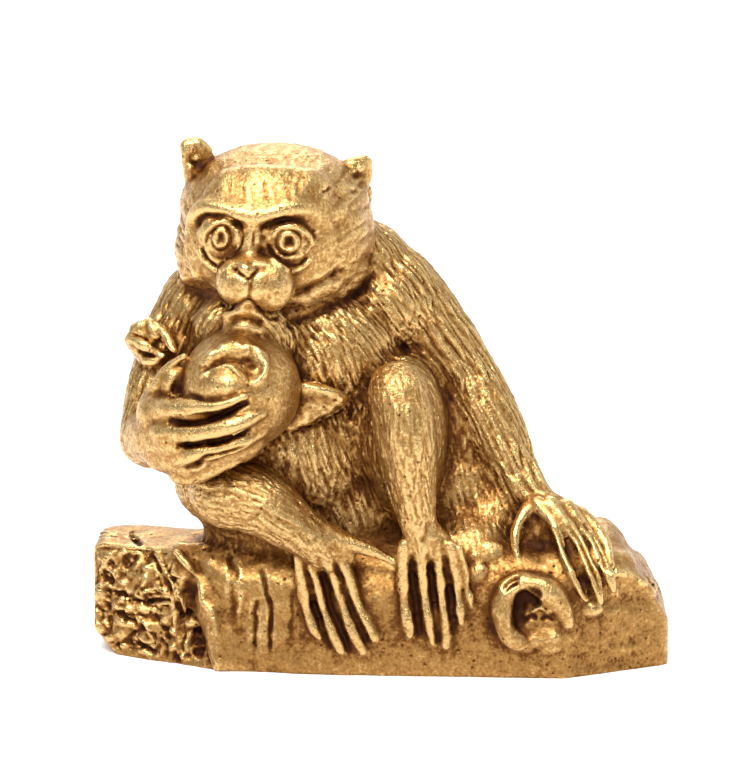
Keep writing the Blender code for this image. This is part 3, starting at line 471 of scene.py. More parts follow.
def add_face(clay):
    """Mask of the face with brow, nose bridge, cheeks, muzzle and lower lip."""
    clay.coat = "skin"
    brow = size("brow_radius")
    clay.ball((-11.1, 37.0, -6.2), (6.6, 3.0, 4.9), turn=4)
    clay.limb(
        (-17.2, 38.3, -6.0, 0.6 * brow), (-16.8, 39.6, -6.8, 0.8 * brow),
        (-15.8, 40.5, -7.8, brow), (-14.2, 40.4, -8.7, brow), (-12.8, 40.0, -9.3, brow),
        (-11.6, 39.7, -9.5, brow), (-10.3, 39.9, -9.4, brow), (-8.8, 40.4, -9.1, brow),
        (-7.2, 40.5, -8.6, brow), (-5.9, 40.0, -7.8, 0.95 * brow), (-4.9, 38.8, -7.0, 0.9 * brow),
        (-4.3, 37.2, -6.2, 0.8 * brow),
    )
    clay.coat = "head"
    clay.block(
        (-16.0, 40.4, -6.9, brow), (-14.2, 40.7, -8.3, brow), (-11.9, 40.2, -9.1, brow),
        (-13.6, 42.6, -6.2, 1.7 * brow), (-11.0, 43.0, -6.7, 1.7 * brow),
    )
    clay.block(
        (-11.9, 40.2, -9.1, brow), (-8.2, 40.8, -8.6, brow), (-6.1, 40.4, -7.6, brow),
        (-11.0, 43.0, -6.7, 1.7 * brow), (-6.6, 42.6, -6.2, 1.7 * brow),
    )
    clay.coat = "skin"
    clay.limb((-11.6, 39.4, -9.2, 0.9), (-11.6, 38.2, -9.3, 0.8), (-11.8, 36.6, -9.3, 0.9))
    clay.ball((-14.4, 37.6, -6.6), (2.6, 2.0, 2.4))
    clay.ball((-8.4, 37.2, -6.9), (2.9, 2.0, 2.6))
    clay.ball((-6.3, 35.1, -6.7), (2.1, 1.6, 2.3))
    clay.ball((-15.9, 35.6, -6.2), (1.4, 1.5, 2.0))
    clay.ball((-11.4, 33.8, -9.4), (3.5, 2.7, 2.45))
    clay.ball((-13.0, 33.7, -10.2), (1.8, 1.5, 1.9))
    clay.ball((-9.95, 33.5, -10.3), (2.05, 1.55, 2.3), turn=-10)
    clay.ball((-11.6, 34.9, -10.1), (2.9, 1.6, 1.35))
    clay.block(
        (-13.68, 30.77, -8.6, 0.7), (-12.06, 31.40, -9.0, 0.7), (-10.35, 30.32, -8.6, 0.7),
        (-13.41, 29.33, -8.8, 0.8), (-10.62, 29.06, -8.6, 0.8),
    )
    clay.limb((-13.77, 30.86, -9.2, 0.5), (-12.15, 31.04, -9.9, 0.7), (-10.35, 30.50, -9.4, 0.5))
    clay.limb((-13.50, 29.69, -9.4, 0.4), (-12.06, 29.78, -9.9, 0.5), (-10.35, 29.33, -9.2, 0.4))


def add_ruff(clay):
    clay.coat = "head"
    clay.limb(
        (-2.6, 41.6, -1.6, 1.5), (-2.1, 39.0, -1.6, 1.5), (-2.2, 36.2, -2.0, 1.6),
        (-3.0, 34.4, -3.0, 1.6), (-5.3, 32.7, -4.6, 1.5), (-8.0, 31.2, -5.8, 1.1),
    )
    clay.limb((-16.4, 40.4, -1.8, 1.1), (-17.4, 37.4, -2.2, 1.2), (-16.9, 34.7, -3.4, 1.2))


def add_peach(clay):
    clay.coat = "fruit"
    peach = size("peach_radius")
    clay.ball((-12.7, 24.2, -8.8), (peach, peach, peach), fine=5)


def add_palms(clay):
    """Backs of both hands and both feet, which the digits grow out of."""
    clay.coat = "skin"
    clay.limb((-20.8, 19.9, -4.0, 2.9), (-19.6, 20.1, -8.0, 2.6), (-18.1, 20.0, -10.3, 2.3))
    clay.block(
        (-20.2, 22.1, -8.6, 1.9), (-19.5, 18.5, -8.6, 1.9), (-17.6, 22.1, -11.2, 1.4),
        (-17.4, 17.3, -10.4, 1.2),
    )
    clay.block(
        (-19.4, 22.3, -10.2, 1.2), (-17.6, 22.3, -12.0, 1.0), (-18.8, 18.0, -10.0, 1.3),
        (-16.3, 17.8, -11.2, 1.1), (-15.4, 21.0, -12.8, 1.0),
    )
    clay.block((-19.7, 20.5, -7.4, 2.0), (-19.2, 24.1, -8.2, 1.2), (-20.1, 22.8, -7.0, 1.8))
    clay.block(
        (14.4, 13.9, -4.4, 1.5), (16.2, 13.1, -4.8, 1.3), (18.6, 12.1, -3.6, 1.0),
        (16.1, 11.7, -6.0, 0.8), (19.5, 10.6, -5.0, 0.8),
    )
    clay.block(
        (-6.6, 9.9, -9.2, 1.0), (-3.2, 10.3, -9.3, 1.0), (-6.8, 8.9, -8.9, 0.6),
        (-2.8, 9.0, -9.1, 0.6), (-5.3, 11.0, -9.2, 1.5),
    )
    clay.block(
        (2.4, 9.7, -9.5, 0.9), (6.4, 9.4, -9.2, 0.9), (2.3, 8.8, -9.3, 0.6), (6.9, 8.2, -9.0, 0.6),
        (4.0, 11.1, -9.4, 1.6),
    )
    clay.block(
        (-6.75, 8.27, -8.2, 0.6), (-3.24, 8.81, -8.5, 0.6), (-5.13, 1.61, -8.3, 0.6),
        (-1.26, 1.61, -8.6, 0.6),
    )
    clay.block(
        (2.16, 8.81, -8.8, 0.6), (6.93, 8.81, -9.0, 0.6), (2.70, 1.97, -8.8, 0.6),
        (6.75, 3.59, -9.0, 0.6),
    )
    clay.ball((13.7, 3.6, -8.0), (3.6, 1.6, 3.6))
    clay.ball((-13.6, 20.0, -11.0), (3.4, 2.2, 2.6))
    clay.ball((14.6, 11.4, -5.2), (2.4, 1.9, 2.6))


# Small features


def add_ears_and_eyes(clay):
    clay.coat = "skin"
    clay.block(
        (-17.3, 46.0, -1.4, 0.85), (-16.6, 46.2, -1.2, 0.8), (-15.9, 45.6, -0.8, 0.75),
        (-17.2, 44.6, -1.6, 0.8), (-15.8, 44.1, -0.8, 0.9), (-16.8, 42.5, -1.4, 0.8),
    )
    clay.block(
        (-2.6, 44.1, -0.9, 1.0), (-1.6, 44.5, -0.4, 0.85), (-1.4, 43.5, -0.4, 0.75),
        (-2.1, 42.3, -0.9, 0.9),
    )
    clay.block(
        (-1.7, 42.5, -0.2, 0.7), (-1.3, 41.8, 0.0, 0.6), (-1.3, 41.1, 0.1, 0.5),
        (-1.9, 41.2, -0.2, 0.8),
    )
    clay.ball((-14.4, 38.3, -7.8), (2.1, 1.6, 2.3))
    clay.ball((-10.4, 37.9, -8.4), (0.9, 1.3, 1.5))
    clay.ball((-12.9, 38.0, -8.2), (0.8, 1.3, 1.4))
    clay.ball((-8.3, 37.95, -8.05), (2.4, 1.6, 2.4), turn=-8)


def add_fingers_on_peach(clay):
    clay.coat = "skin"
    digit = size("digit_radius")
    thick = 1.6 * digit
    clay.limb(
        (-19.9, 22.2, -9.4, 1.4), (-18.3, 22.5, -11.8, thick), (-16.7, 22.6, -13.0, 0.7),
        (-14.9, 22.8, -13.8, 0.6), (-12.3, 23.5, -14.3, 0.4),
    )
    clay.limb(
        (-19.4, 20.3, -10.4, 1.5), (-17.7, 20.3, -12.3, thick), (-15.6, 20.4, -13.3, thick),
        (-13.2, 21.0, -14.0, 0.85), (-10.7, 22.0, -13.4, 0.5),
    )
    clay.limb(
        (-18.8, 18.3, -9.8, 1.3), (-17.2, 18.3, -11.7, thick), (-15.0, 18.7, -12.6, 0.85),
        (-12.9, 19.2, -13.0, 0.7), (-10.7, 20.3, -12.3, 0.45),
    )
    clay.limb(
        (-18.1, 16.7, -9.6, 1.1), (-16.6, 16.5, -10.4, 0.85), (-14.8, 17.2, -11.2, 0.7),
        (-12.9, 18.0, -11.8, 0.55), (-10.9, 19.1, -11.8, 0.3),
    )
    clay.limb(
        (-20.6, 22.1, -7.7, 1.1), (-20.3, 24.1, -8.7, 0.65), (-19.2, 26.1, -9.3, 0.42),
        (-17.7, 27.2, -9.7, 0.3),
    )
    clay.limb(
        (-17.5, 19.3, -11.2, 0.7), (-15.2, 19.5, -12.4, 0.7), (-12.9, 20.1, -13.0, 0.7),
        (-11.0, 21.1, -12.6, 0.5),
    )
    clay.limb((-16.5, 17.4, -10.6, 0.7), (-14.5, 17.9, -11.7, 0.6), (-12.5, 18.7, -12.2, 0.5))
    clay.ball((-18.3, 24.6, -8.7), (1.7, 1.7, 2.1))
    clay.limb((-16.8, 21.3, -12.0, 0.7), (-14.5, 21.6, -13.1, 0.7), (-12.2, 22.5, -13.4, 0.6))


def add_leaves(clay):
    """Crumpled leaf by the peach's stalk, and the flat leaf right of the peach."""
    clay.coat = "leaf"
    clay.block(
        (-22.59, 28.52, -4.8, 0.6), (-21.96, 29.60, -4.9, 0.7), (-20.88, 29.96, -5.0, 0.7),
        (-19.80, 29.42, -5.2, 0.6), (-19.89, 27.89, -5.3, 0.8), (-21.15, 27.44, -5.2, 0.8),
        (-20.2, 27.8, -3.4, 2.0),
    )
    clay.limb((-22.41, 28.70, -5.5, 0.3), (-21.33, 28.16, -6.1, 0.6), (-20.16, 27.62, -6.4, 0.35))
    clay.limb((-20.07, 29.78, -5.7, 0.3), (-19.44, 28.97, -6.4, 0.5), (-18.54, 27.71, -7.6, 0.35))
    clay.limb(
        (-20.79, 29.96, -5.7, 0.25), (-20.52, 29.42, -5.9, 0.35), (-20.16, 28.79, -6.1, 0.25),
    )
    clay.limb((-21.15, 26.72, -5.9, 0.4), (-20.43, 26.81, -6.3, 0.5), (-19.62, 27.17, -6.6, 0.35))
    clay.block(
        (-7.9, 24.3, -8.2, 0.5), (-5.8, 24.2, -8.0, 0.45), (-3.2, 23.3, -7.5, 0.4),
        (-3.5, 22.9, -7.2, 0.4), (-6.3, 21.5, -7.4, 0.4), (-8.3, 20.7, -7.6, 0.4),
        (-5.5, 23.0, -4.3, 1.5), (-7.3, 23.0, -4.3, 1.8),
    )


def add_fingers_on_log(clay):
    clay.coat = "skin"
    digit = size("digit_radius")
    thin = 0.8 * digit
    clay.limb(
        (14.1, 13.8, -5.6, 0.9), (15.8, 11.5, -7.3, thin), (16.7, 8.8, -8.7, thin),
        (17.3, 7.6, -9.4, 1.15 * thin), (18.4, 5.3, -9.9, 0.35),
    )
    clay.limb(
        (15.2, 13.7, -5.9, 0.9), (17.5, 11.0, -7.5, thin), (18.6, 8.6, -9.0, thin),
        (19.2, 7.2, -9.6, 1.1 * thin), (19.8, 5.0, -9.9, 0.32),
    )
    clay.limb(
        (16.6, 13.5, -5.5, 0.9), (18.9, 10.8, -6.9, thin), (20.1, 8.3, -8.4, thin),
        (20.5, 7.2, -8.9, thin), (20.9, 6.1, -9.1, 0.35),
    )
    clay.limb(
        (17.9, 12.9, -4.4, 0.8), (19.9, 11.0, -5.8, 0.5), (20.5, 9.2, -7.0, 0.45),
        (20.7, 8.3, -7.6, 0.3),
    )
    clay.limb(
        (13.9, 13.9, -5.0, 1.0), (12.7, 12.6, -6.4, 0.62), (12.1, 10.8, -7.4, 0.5),
        (12.3, 8.8, -8.2, 0.3),
    )
    clay.block(
        (15.4, 12.4, -5.8, 0.9), (19.5, 11.3, -4.9, 0.8), (17.1, 7.7, -8.6, 0.5),
        (20.2, 8.3, -7.4, 0.5), (18.8, 6.3, -9.2, 0.35),
    )


def add_toes(clay):
    """Toes as ridges with swollen joints that run down the log's front."""
    clay.coat = "skin"
    digit = size("digit_radius")
    toes = (
        ((-7.38, 8.99), (-6.84, 5.93), (-6.57, 4.13), (-5.94, 2.69), (-5.49, 1.97)),
        ((-7.02, 9.89), (-5.85, 6.47), (-5.13, 4.22), (-4.32, 2.33), (-3.60, 0.71)),
        ((-4.95, 10.07), (-4.05, 7.01), (-3.33, 4.76), (-2.52, 2.51), (-1.62, 0.53)),
        ((-4.05, 10.79), (-2.97, 7.01), (-2.07, 4.67), (-1.26, 3.05), (-0.54, 1.79)),
        ((2.07, 10.16), (2.07, 6.56), (2.07, 5.21), (2.43, 3.41), (2.61, 2.15)),
        ((3.42, 10.43), (3.87, 6.74), (3.96, 5.48), (4.50, 3.41), (4.68, 1.43)),
        ((4.86, 10.43), (5.49, 7.01), (5.40, 5.75), (5.85, 3.41), (5.85, 1.16)),
        ((6.21, 10.16), (6.84, 7.01), (6.93, 5.75), (7.11, 4.13), (7.20, 3.23)),
        ((7.02, 9.89), (7.65, 7.46), (7.74, 6.29), (8.01, 5.39), (8.10, 4.76)),
    )
    swelling = (0.84, 1.04, 0.7, 1.04, 0.66)
    for number, toe in enumerate(toes):
        slim = 0.55 if number == 8 else 0.85 if number == 7 else 1.0
        stations = []
        for step, (x, h) in enumerate(toe):
            lift = 0.7 if step == 0 else 0.2
            swell = swelling[step] * slim * (1.12 if (step + number) % 3 else 0.95)
            stations.append((x, h, log_front(x) - lift, swell * digit))
        clay.limb(*stations)
    clay.limb(
        (-3.9, 10.6, -9.5, 0.8), (-2.1, 10.1, -9.5, 0.7), (-0.5, 9.5, -9.4, 0.55),
        (1.0, 8.7, -9.5, 0.35),
    )


# Carving


def read_vectors(items, name):
    values = np.empty(3 * len(items), np.float32)
    items.foreach_get(name, values)
    return values.reshape(-1, 3).astype(float)


def write_points(mesh, points):
    mesh.vertices.foreach_set("co", points.astype(np.float32).ravel())
    mesh.update()


def rounded_path(points, steps=5):
    """Points of the smooth curve through points."""
    points = np.array(points, float)
    ends = np.vstack([2 * points[0] - points[1], points, 2 * points[-1] - points[-2]])
    path = []
    for a, b, c, d in zip(ends, ends[1:], ends[2:], ends[3:]):
        for t in np.arange(steps) / steps:
            bend = t * (2 * a - 5 * b + 4 * c - d + t * (3 * (b - c) + d - a))
            path.append(b + 0.5 * t * (c - a + bend))
    return np.array([*path, points[-1]])


class Carving:
    """Grooves and ridges cut into the front skin, along given paths of (x, h) on the drawing."""

    CELL = 0.35
    HIDDEN_DEPTH = 1.2
    WOBBLE = 0.09
    WOBBLE_WIDTH = 0.9
    UNEVEN = 0.3
    UNEVEN_WIDTH = 0.55
    RUN_OUT = 0.18

    def __init__(self, figure):
        self.mesh = figure.data
        self.look_again()

    def look_again(self):
        """Finds the skin that the eye of the drawing sees."""
        self.points = read_vectors(self.mesh.vertices, "co")
        self.normals = read_vectors(self.mesh.vertices, "normal")
        x, h, distance = on_drawing(self.points)
        column = np.floor(x / self.CELL).astype(int)
        row = np.floor(h / self.CELL).astype(int)
        column -= column.min()
        row -= row.min()
        nearest = np.full((column.max() + 1, row.max() + 1), FAR)
        np.minimum.at(nearest, (column, row), distance)
        facing = self.normals @ np.array(SIGHT) < 0
        self.seen = np.nonzero(facing & (distance < nearest[column, row] + self.HIDDEN_DEPTH))[0]
        places = self.points[self.seen] / self.WOBBLE_WIDTH
        self.x = x[self.seen] + self.WOBBLE * smooth_noise(places, 80)
        self.h = h[self.seen] + self.WOBBLE * smooth_noise(places, 81)
        self.height = np.zeros(len(self.points))

    def stroke(self, path, width, height):
        """Ridge, or groove where height is negative, that runs out at its ends."""
        path = rounded_path(path)
        low, high = path.min(0) - 3 * width, path.max(0) + 3 * width
        near = (self.x > low[0]) & (self.x < high[0]) & (self.h > low[1]) & (self.h < high[1])
        spots = np.stack([self.x[near], self.h[near]], 1)
        away = np.full(len(spots), FAR)
        along = np.zeros(len(spots))
        steps = np.diff(path, axis=0)
        run = np.concatenate([[0], np.cumsum(np.hypot(*steps.T))])
        for start, step, begin, end in zip(path, steps, run, run[1:]):
            share = np.clip((spots - start) @ step / (step @ step), 0, 1)
            off = np.hypot(*(spots - start - share[:, None] * step).T)
            closer = off < away
            away[closer] = off[closer]
            along[closer] = (begin + share * (end - begin))[closer] / run[-1]
        profile = np.exp(-((away / width) ** 2))
        profile *= np.clip(np.minimum(along, 1 - along) / self.RUN_OUT, 0, 1) ** 0.6
        self.height[self.seen[near]] += height * profile

    def ring(self, centre, radius, width, height, narrow=1.0):
        """Round ridge or groove; narrow is its width divided by its height."""
        away = np.hypot((self.x - centre[0]) / narrow, self.h - centre[1]) - radius
        self.height[self.seen] += height * np.exp(-((away / width) ** 2))

    def hollow(self, centre, radii, depth, turn=0.0, steep=2.0):
        """Pit, or bump where depth is negative; steep sets how upright its sides are."""
        cos, sin = math.cos(math.radians(turn)), math.sin(math.radians(turn))
        dx, dh = self.x - centre[0], self.h - centre[1]
        reach = ((dx * cos + dh * sin) / radii[0]) ** 2 + ((dh * cos - dx * sin) / radii[1]) ** 2
        self.height[self.seen] -= depth * np.exp(-(reach ** (steep / 2)))

    def press(self):
        """Moves the skin by what has been carved, and looks again."""
        outward = self.normals - 0.98 * np.array(SIGHT)
        outward /= np.linalg.norm(outward, axis=1)[:, None]
        self.height *= 1 + self.UNEVEN * smooth_noise(self.points / self.UNEVEN_WIDTH, 82)
        write_points(self.mesh, self.points + outward * self.height[:, None])
        self.look_again()


def carve_face(carving):
    stroke, ring, hollow = carving.stroke, carving.ring, carving.hollow
    stroke([
        (-16.56, 38.69), (-16.29, 39.50), (-15.48, 39.81), (-14.22, 39.68), (-12.96, 39.23),
        (-12.06, 38.60),
    ], 0.22, -0.4)
    stroke([
        (-11.07, 38.60), (-9.81, 39.14), (-8.37, 39.41), (-7.02, 39.14), (-6.12, 38.24),
        (-5.85, 37.52),
    ], 0.22, -0.42)
    stroke([(-10.62, 38.15), (-10.35, 37.52), (-9.99, 36.71)], 0.26, -0.14)
    stroke([(-12.42, 38.24), (-12.51, 37.25), (-13.05, 36.35)], 0.26, -0.14)
    carving.press()
    for eye, narrow, scale in (((-14.40, 37.79), 0.8, 1.0), ((-8.32, 37.43), 1.0, 1.04)):
        ring(eye, 0.74 * scale, 0.22, 0.15, narrow)
        hollow(eye, (0.42 * narrow, 0.5 * scale), 0.45, 0, 3)
        ring(eye, 1.1 * scale, 0.15, -0.2, narrow)
    stroke([
        (-16.02, 37.79), (-15.66, 38.60), (-14.85, 39.14), (-13.77, 39.14), (-12.96, 38.42),
        (-12.78, 37.43),
    ], 0.2, 0.2)
    stroke([(-15.84, 37.34), (-15.48, 38.15), (-14.76, 38.78)], 0.12, -0.22)
    stroke([(-13.23, 36.53), (-12.69, 37.34), (-12.42, 38.33)], 0.12, 0.14)
    stroke([(-13.05, 36.17), (-12.33, 37.07), (-12.15, 38.15)], 0.12, 0.12)
    stroke([(-15.84, 37.07), (-15.39, 36.17), (-14.49, 35.63), (-13.50, 36.08)], 0.16, 0.16)
    stroke([(-16.20, 36.98), (-15.66, 35.90), (-14.76, 35.27)], 0.14, -0.3)
    stroke([(-16.47, 36.80), (-15.84, 35.54), (-14.85, 34.91), (-14.13, 35.09)], 0.2, 0.28)
    stroke([(-9.81, 37.79), (-9.27, 38.51), (-8.19, 38.82), (-7.02, 38.42), (-6.30, 37.61)], 0.24, 0.28)
    stroke([(-9.81, 37.16), (-9.18, 36.35), (-8.19, 35.99), (-7.02, 36.35), (-6.39, 37.25)], 0.18, 0.2)
    stroke([(-7.02, 37.97), (-6.57, 37.25), (-7.02, 36.71)], 0.2, -0.25)
    stroke([(-10.35, 37.34), (-9.63, 36.17), (-8.64, 35.45), (-7.47, 35.45), (-6.57, 36.08)], 0.16, -0.22)
    stroke([(-10.35, 36.71), (-9.45, 35.54), (-8.28, 34.91), (-7.02, 35.18), (-6.12, 36.17)], 0.2, 0.24)
    hollow((-11.93, 35.63), (0.5, 0.4), 0.15)
    stroke([
        (-13.14, 35.09), (-12.69, 34.55), (-11.93, 34.10), (-11.43, 34.55), (-10.98, 35.00),
    ], 0.15, -0.38)
    hollow((-13.18, 35.00), (0.42, 0.3), 0.36, 35)
    hollow((-10.89, 35.00), (0.5, 0.28), 0.36, -25)
    hollow((-12.29, 35.18), (0.6, 0.65), -0.22)
    stroke([(-11.79, 35.90), (-11.79, 35.27)], 0.16, -0.12)
    stroke([(-11.88, 34.19), (-11.79, 33.29), (-11.79, 32.03)], 0.24, -0.3)
    stroke([(-11.84, 38.51), (-11.88, 37.07)], 0.22, 0.14)
    stroke([(-11.02, 38.33), (-11.07, 37.16)], 0.2, 0.12)
    stroke([(-11.43, 38.51), (-11.47, 36.89)], 0.14, -0.16)
    stroke([
        (-14.58, 31.94), (-13.68, 31.49), (-12.69, 31.76), (-11.97, 32.12), (-10.98, 31.40),
        (-10.08, 30.59), (-9.18, 30.50),
    ], 0.2, -0.4)
    stroke([(-13.68, 31.04), (-12.69, 31.22), (-11.79, 31.22), (-10.44, 30.68)], 0.28, 0.14)
    stroke([(-13.50, 30.41), (-11.97, 30.50), (-10.53, 30.05)], 0.26, -0.22)
    stroke([(-13.50, 29.69), (-12.06, 29.78), (-10.35, 29.33)], 0.26, 0.15)
    stroke([(-3.87, 39.59), (-3.60, 37.61), (-3.96, 35.63), (-5.04, 34.10)], 0.8, -0.22)
    stroke([(-8.01, 32.57), (-6.39, 33.20), (-4.59, 34.10), (-3.15, 34.91)], 0.4, -0.5)
    stroke([(-7.29, 31.85), (-5.31, 32.84), (-3.24, 33.74)], 0.5, 0.2)
    stroke([(-17.37, 38.33), (-17.19, 36.17), (-16.11, 34.37), (-15.03, 33.11)], 0.45, -0.25)
    stroke([(-9.36, 29.33), (-7.47, 30.32), (-4.95, 31.31), (-2.61, 32.57), (-0.63, 34.37)], 0.5, -0.4)
    stroke([(-5.31, 41.93), (-4.86, 42.11), (-4.50, 42.38)], 0.16, -0.3)
    for step in range(8):
        across = -13.8 + 1.05 * step + 0.3 * (step % 2)
        stroke([(across, 43.0 - 0.3 * (step % 3)), (across + 0.15, 41.4 - 0.3 * (step % 2))], 0.2, -0.07)
    hollow((-16.83, 44.81), (0.75, 1.5), 0.6, 12)
    for bump in ((-16.92, 45.71), (-16.56, 44.99), (-17.01, 44.27), (-16.56, 43.73)):
        hollow(bump, (0.32, 0.3), -0.3)
    hollow((-2.16, 43.46), (0.85, 0.9), 0.35, -20)
    for bump in ((-2.52, 43.82), (-1.98, 43.19), (-1.80, 44.09)):
        hollow(bump, (0.35, 0.33), -0.3)
    hollow((-2.34, 42.02), (0.3, 0.3), 0.35)


def carve_peach_and_hand(carving):
    """Bite in the peach, pocket by the thumb, slits between the fingers and the leaves."""
    stroke, hollow = carving.stroke, carving.hollow
    stroke([
        (-15.93, 26.09), (-15.57, 27.08), (-14.40, 27.89), (-12.87, 28.16), (-11.61, 27.80),
    ], 0.65, 0.42)
    stroke([
        (-12.33, 28.07), (-11.07, 27.53), (-10.44, 26.54), (-10.62, 25.37), (-11.70, 24.65),
    ], 0.36, 0.45)
    stroke([
        (-15.93, 25.55), (-15.12, 26.45), (-13.68, 26.90), (-12.15, 26.81), (-11.25, 26.09),
    ], 0.42, -0.6)
    hollow((-11.88, 25.73), (0.85, 0.75), 0.5)
    hollow((-14.31, 24.65), (1.5, 0.85), -0.4)
    stroke([
        (-16.29, 25.10), (-15.30, 26.00), (-13.95, 26.36), (-12.87, 25.73), (-12.06, 24.74),
    ], 0.18, 0.34)
    hollow((-18.45, 24.47), (0.5, 1.2), 0.5, -20)
    stroke([(-17.28, 23.93), (-16.02, 23.30), (-14.04, 23.48), (-12.69, 23.93)], 0.25, -0.3)
    stroke([
        (-19.17, 21.32), (-17.91, 21.14), (-16.38, 21.23), (-13.77, 22.13), (-11.79, 23.12),
    ], 0.24, -0.75)
    stroke([(-18.45, 18.98), (-15.48, 19.34), (-13.41, 19.79), (-11.61, 20.51)], 0.22, -0.65)
    stroke([
        (-17.64, 17.09), (-16.38, 17.45), (-15.48, 18.08), (-13.68, 18.44), (-12.15, 18.98),
    ], 0.22, -0.65)
    stroke([(-18.99, 22.13), (-17.19, 21.95), (-14.94, 22.40), (-12.69, 23.03)], 0.2, 0.12)
    stroke([(-7.56, 24.47), (-6.39, 24.47), (-4.77, 24.02), (-3.06, 23.48)], 0.5, 0.25)
    stroke([(-7.29, 23.30), (-5.67, 23.21), (-4.14, 23.03)], 0.4, -0.14)
    stroke([(-8.10, 20.24), (-6.21, 21.05), (-4.41, 21.95), (-2.97, 22.85)], 0.16, -0.22)
    hollow((2.07, 27.89), (0.7, 0.35), 0.6, -30)
    hollow((-2.70, 21.95), (0.35, 0.7), 0.6)
    stroke([(-22.50, 29.15), (-21.60, 28.97), (-20.61, 28.34), (-19.98, 28.16)], 0.14, -0.3)
    stroke([(-22.05, 27.71), (-21.15, 27.26), (-20.07, 27.17)], 0.16, -0.25)
    stroke([(-20.16, 29.24), (-19.62, 28.34), (-18.99, 27.44)], 0.13, -0.22)


def carve_knot(carving):
    stroke, hollow = carving.stroke, carving.hollow
    hollow((13.23, 5.21), (1.3, 0.95), 0.6, 35, 4)
    hollow((12.42, 3.59), (0.55, 1.5), 0.5, -10, 3)
    stroke([(10.89, 6.11), (11.34, 6.74), (11.97, 7.19), (12.51, 7.28)], 0.14, -0.35)
    stroke([(11.16, 5.93), (11.79, 6.47), (12.42, 6.83)], 0.14, -0.3)
    stroke([(13.41, 4.13), (14.31, 4.58), (15.39, 4.04)], 0.25, 0.35)
    stroke([(12.78, 3.23), (13.41, 3.77), (14.04, 3.59)], 0.2, -0.3)
    stroke([(14.31, 3.41), (14.85, 3.68), (15.48, 3.32)], 0.18, -0.25)
    stroke([(13.05, 6.11), (13.77, 5.48), (14.76, 5.21)], 0.22, 0.25)


def carve_limbs(carving):
    """Ditches between toes and fingers, the hand's arch and the sides of the shin."""
    stroke, hollow = carving.stroke, carving.hollow
    hollow((13.95, 10.97), (1.1, 1.9), 0.5, 8, 3)
    ditches = (
        [(-6.93, 8.63), (-6.39, 6.56), (-5.85, 4.13), (-4.50, 0.71)],
        [(-5.76, 9.17), (-4.95, 6.56), (-4.32, 4.13), (-2.61, 0.26)],
        [(-4.32, 9.17), (-3.42, 6.56), (-2.70, 4.49), (-1.17, 1.16)],
        [(2.70, 9.53), (2.97, 6.11), (3.51, 1.61)],
        [(4.23, 9.53), (4.68, 6.11), (5.13, 1.16)],
        [(5.58, 9.26), (6.21, 6.11), (6.57, 2.06)],
    )
    for ditch in ditches:
        stroke(ditch, 0.3, -0.4)
    stroke([(15.75, 11.69), (17.01, 9.17), (18.09, 7.01), (18.81, 5.39)], 0.3, -0.55)
    stroke([(16.83, 12.05), (18.36, 9.53), (19.44, 7.01), (19.89, 5.75)], 0.28, -0.5)
    stroke([(18.09, 12.23), (19.53, 10.16), (20.34, 7.91)], 0.24, -0.45)
    stroke([(4.41, 12.41), (3.69, 10.34)], 0.25, -0.2)
    stroke([(-0.45, 23.21), (0.27, 18.71), (1.71, 12.41)], 0.8, -0.3)


def carve_bark(carving):
    stroke = carving.stroke
    stroke([(-13.59, 8.99), (-13.32, 5.21), (-13.05, 2.96)], 0.22, -0.15)
    stroke([(-12.87, 9.17), (-12.69, 5.21), (-12.96, 3.41)], 0.3, 0.15)
    stroke([(-13.77, 9.53), (-13.05, 7.73), (-13.23, 7.01)], 0.3, -0.3)
    stroke([(-10.71, 8.27), (-10.35, 6.11), (-9.99, 4.31), (-10.08, 0.26)], 0.2, -0.35)
    stroke([(-11.25, 5.21), (-11.43, 0.26)], 0.25, -0.3)
    stroke([(-10.71, 8.81), (-10.17, 5.21), (-10.35, 3.41)], 0.2, 0.15)
    stroke([(-8.01, 6.11), (-8.10, 1.61)], 0.2, -0.12)
    stroke([(20.61, 7.82), (21.87, 7.64), (23.31, 7.01), (24.21, 6.47), (24.93, 5.57)], 0.5, 0.4)
    carving.hollow((22.77, 5.21), (1.7, 0.9), 0.25)


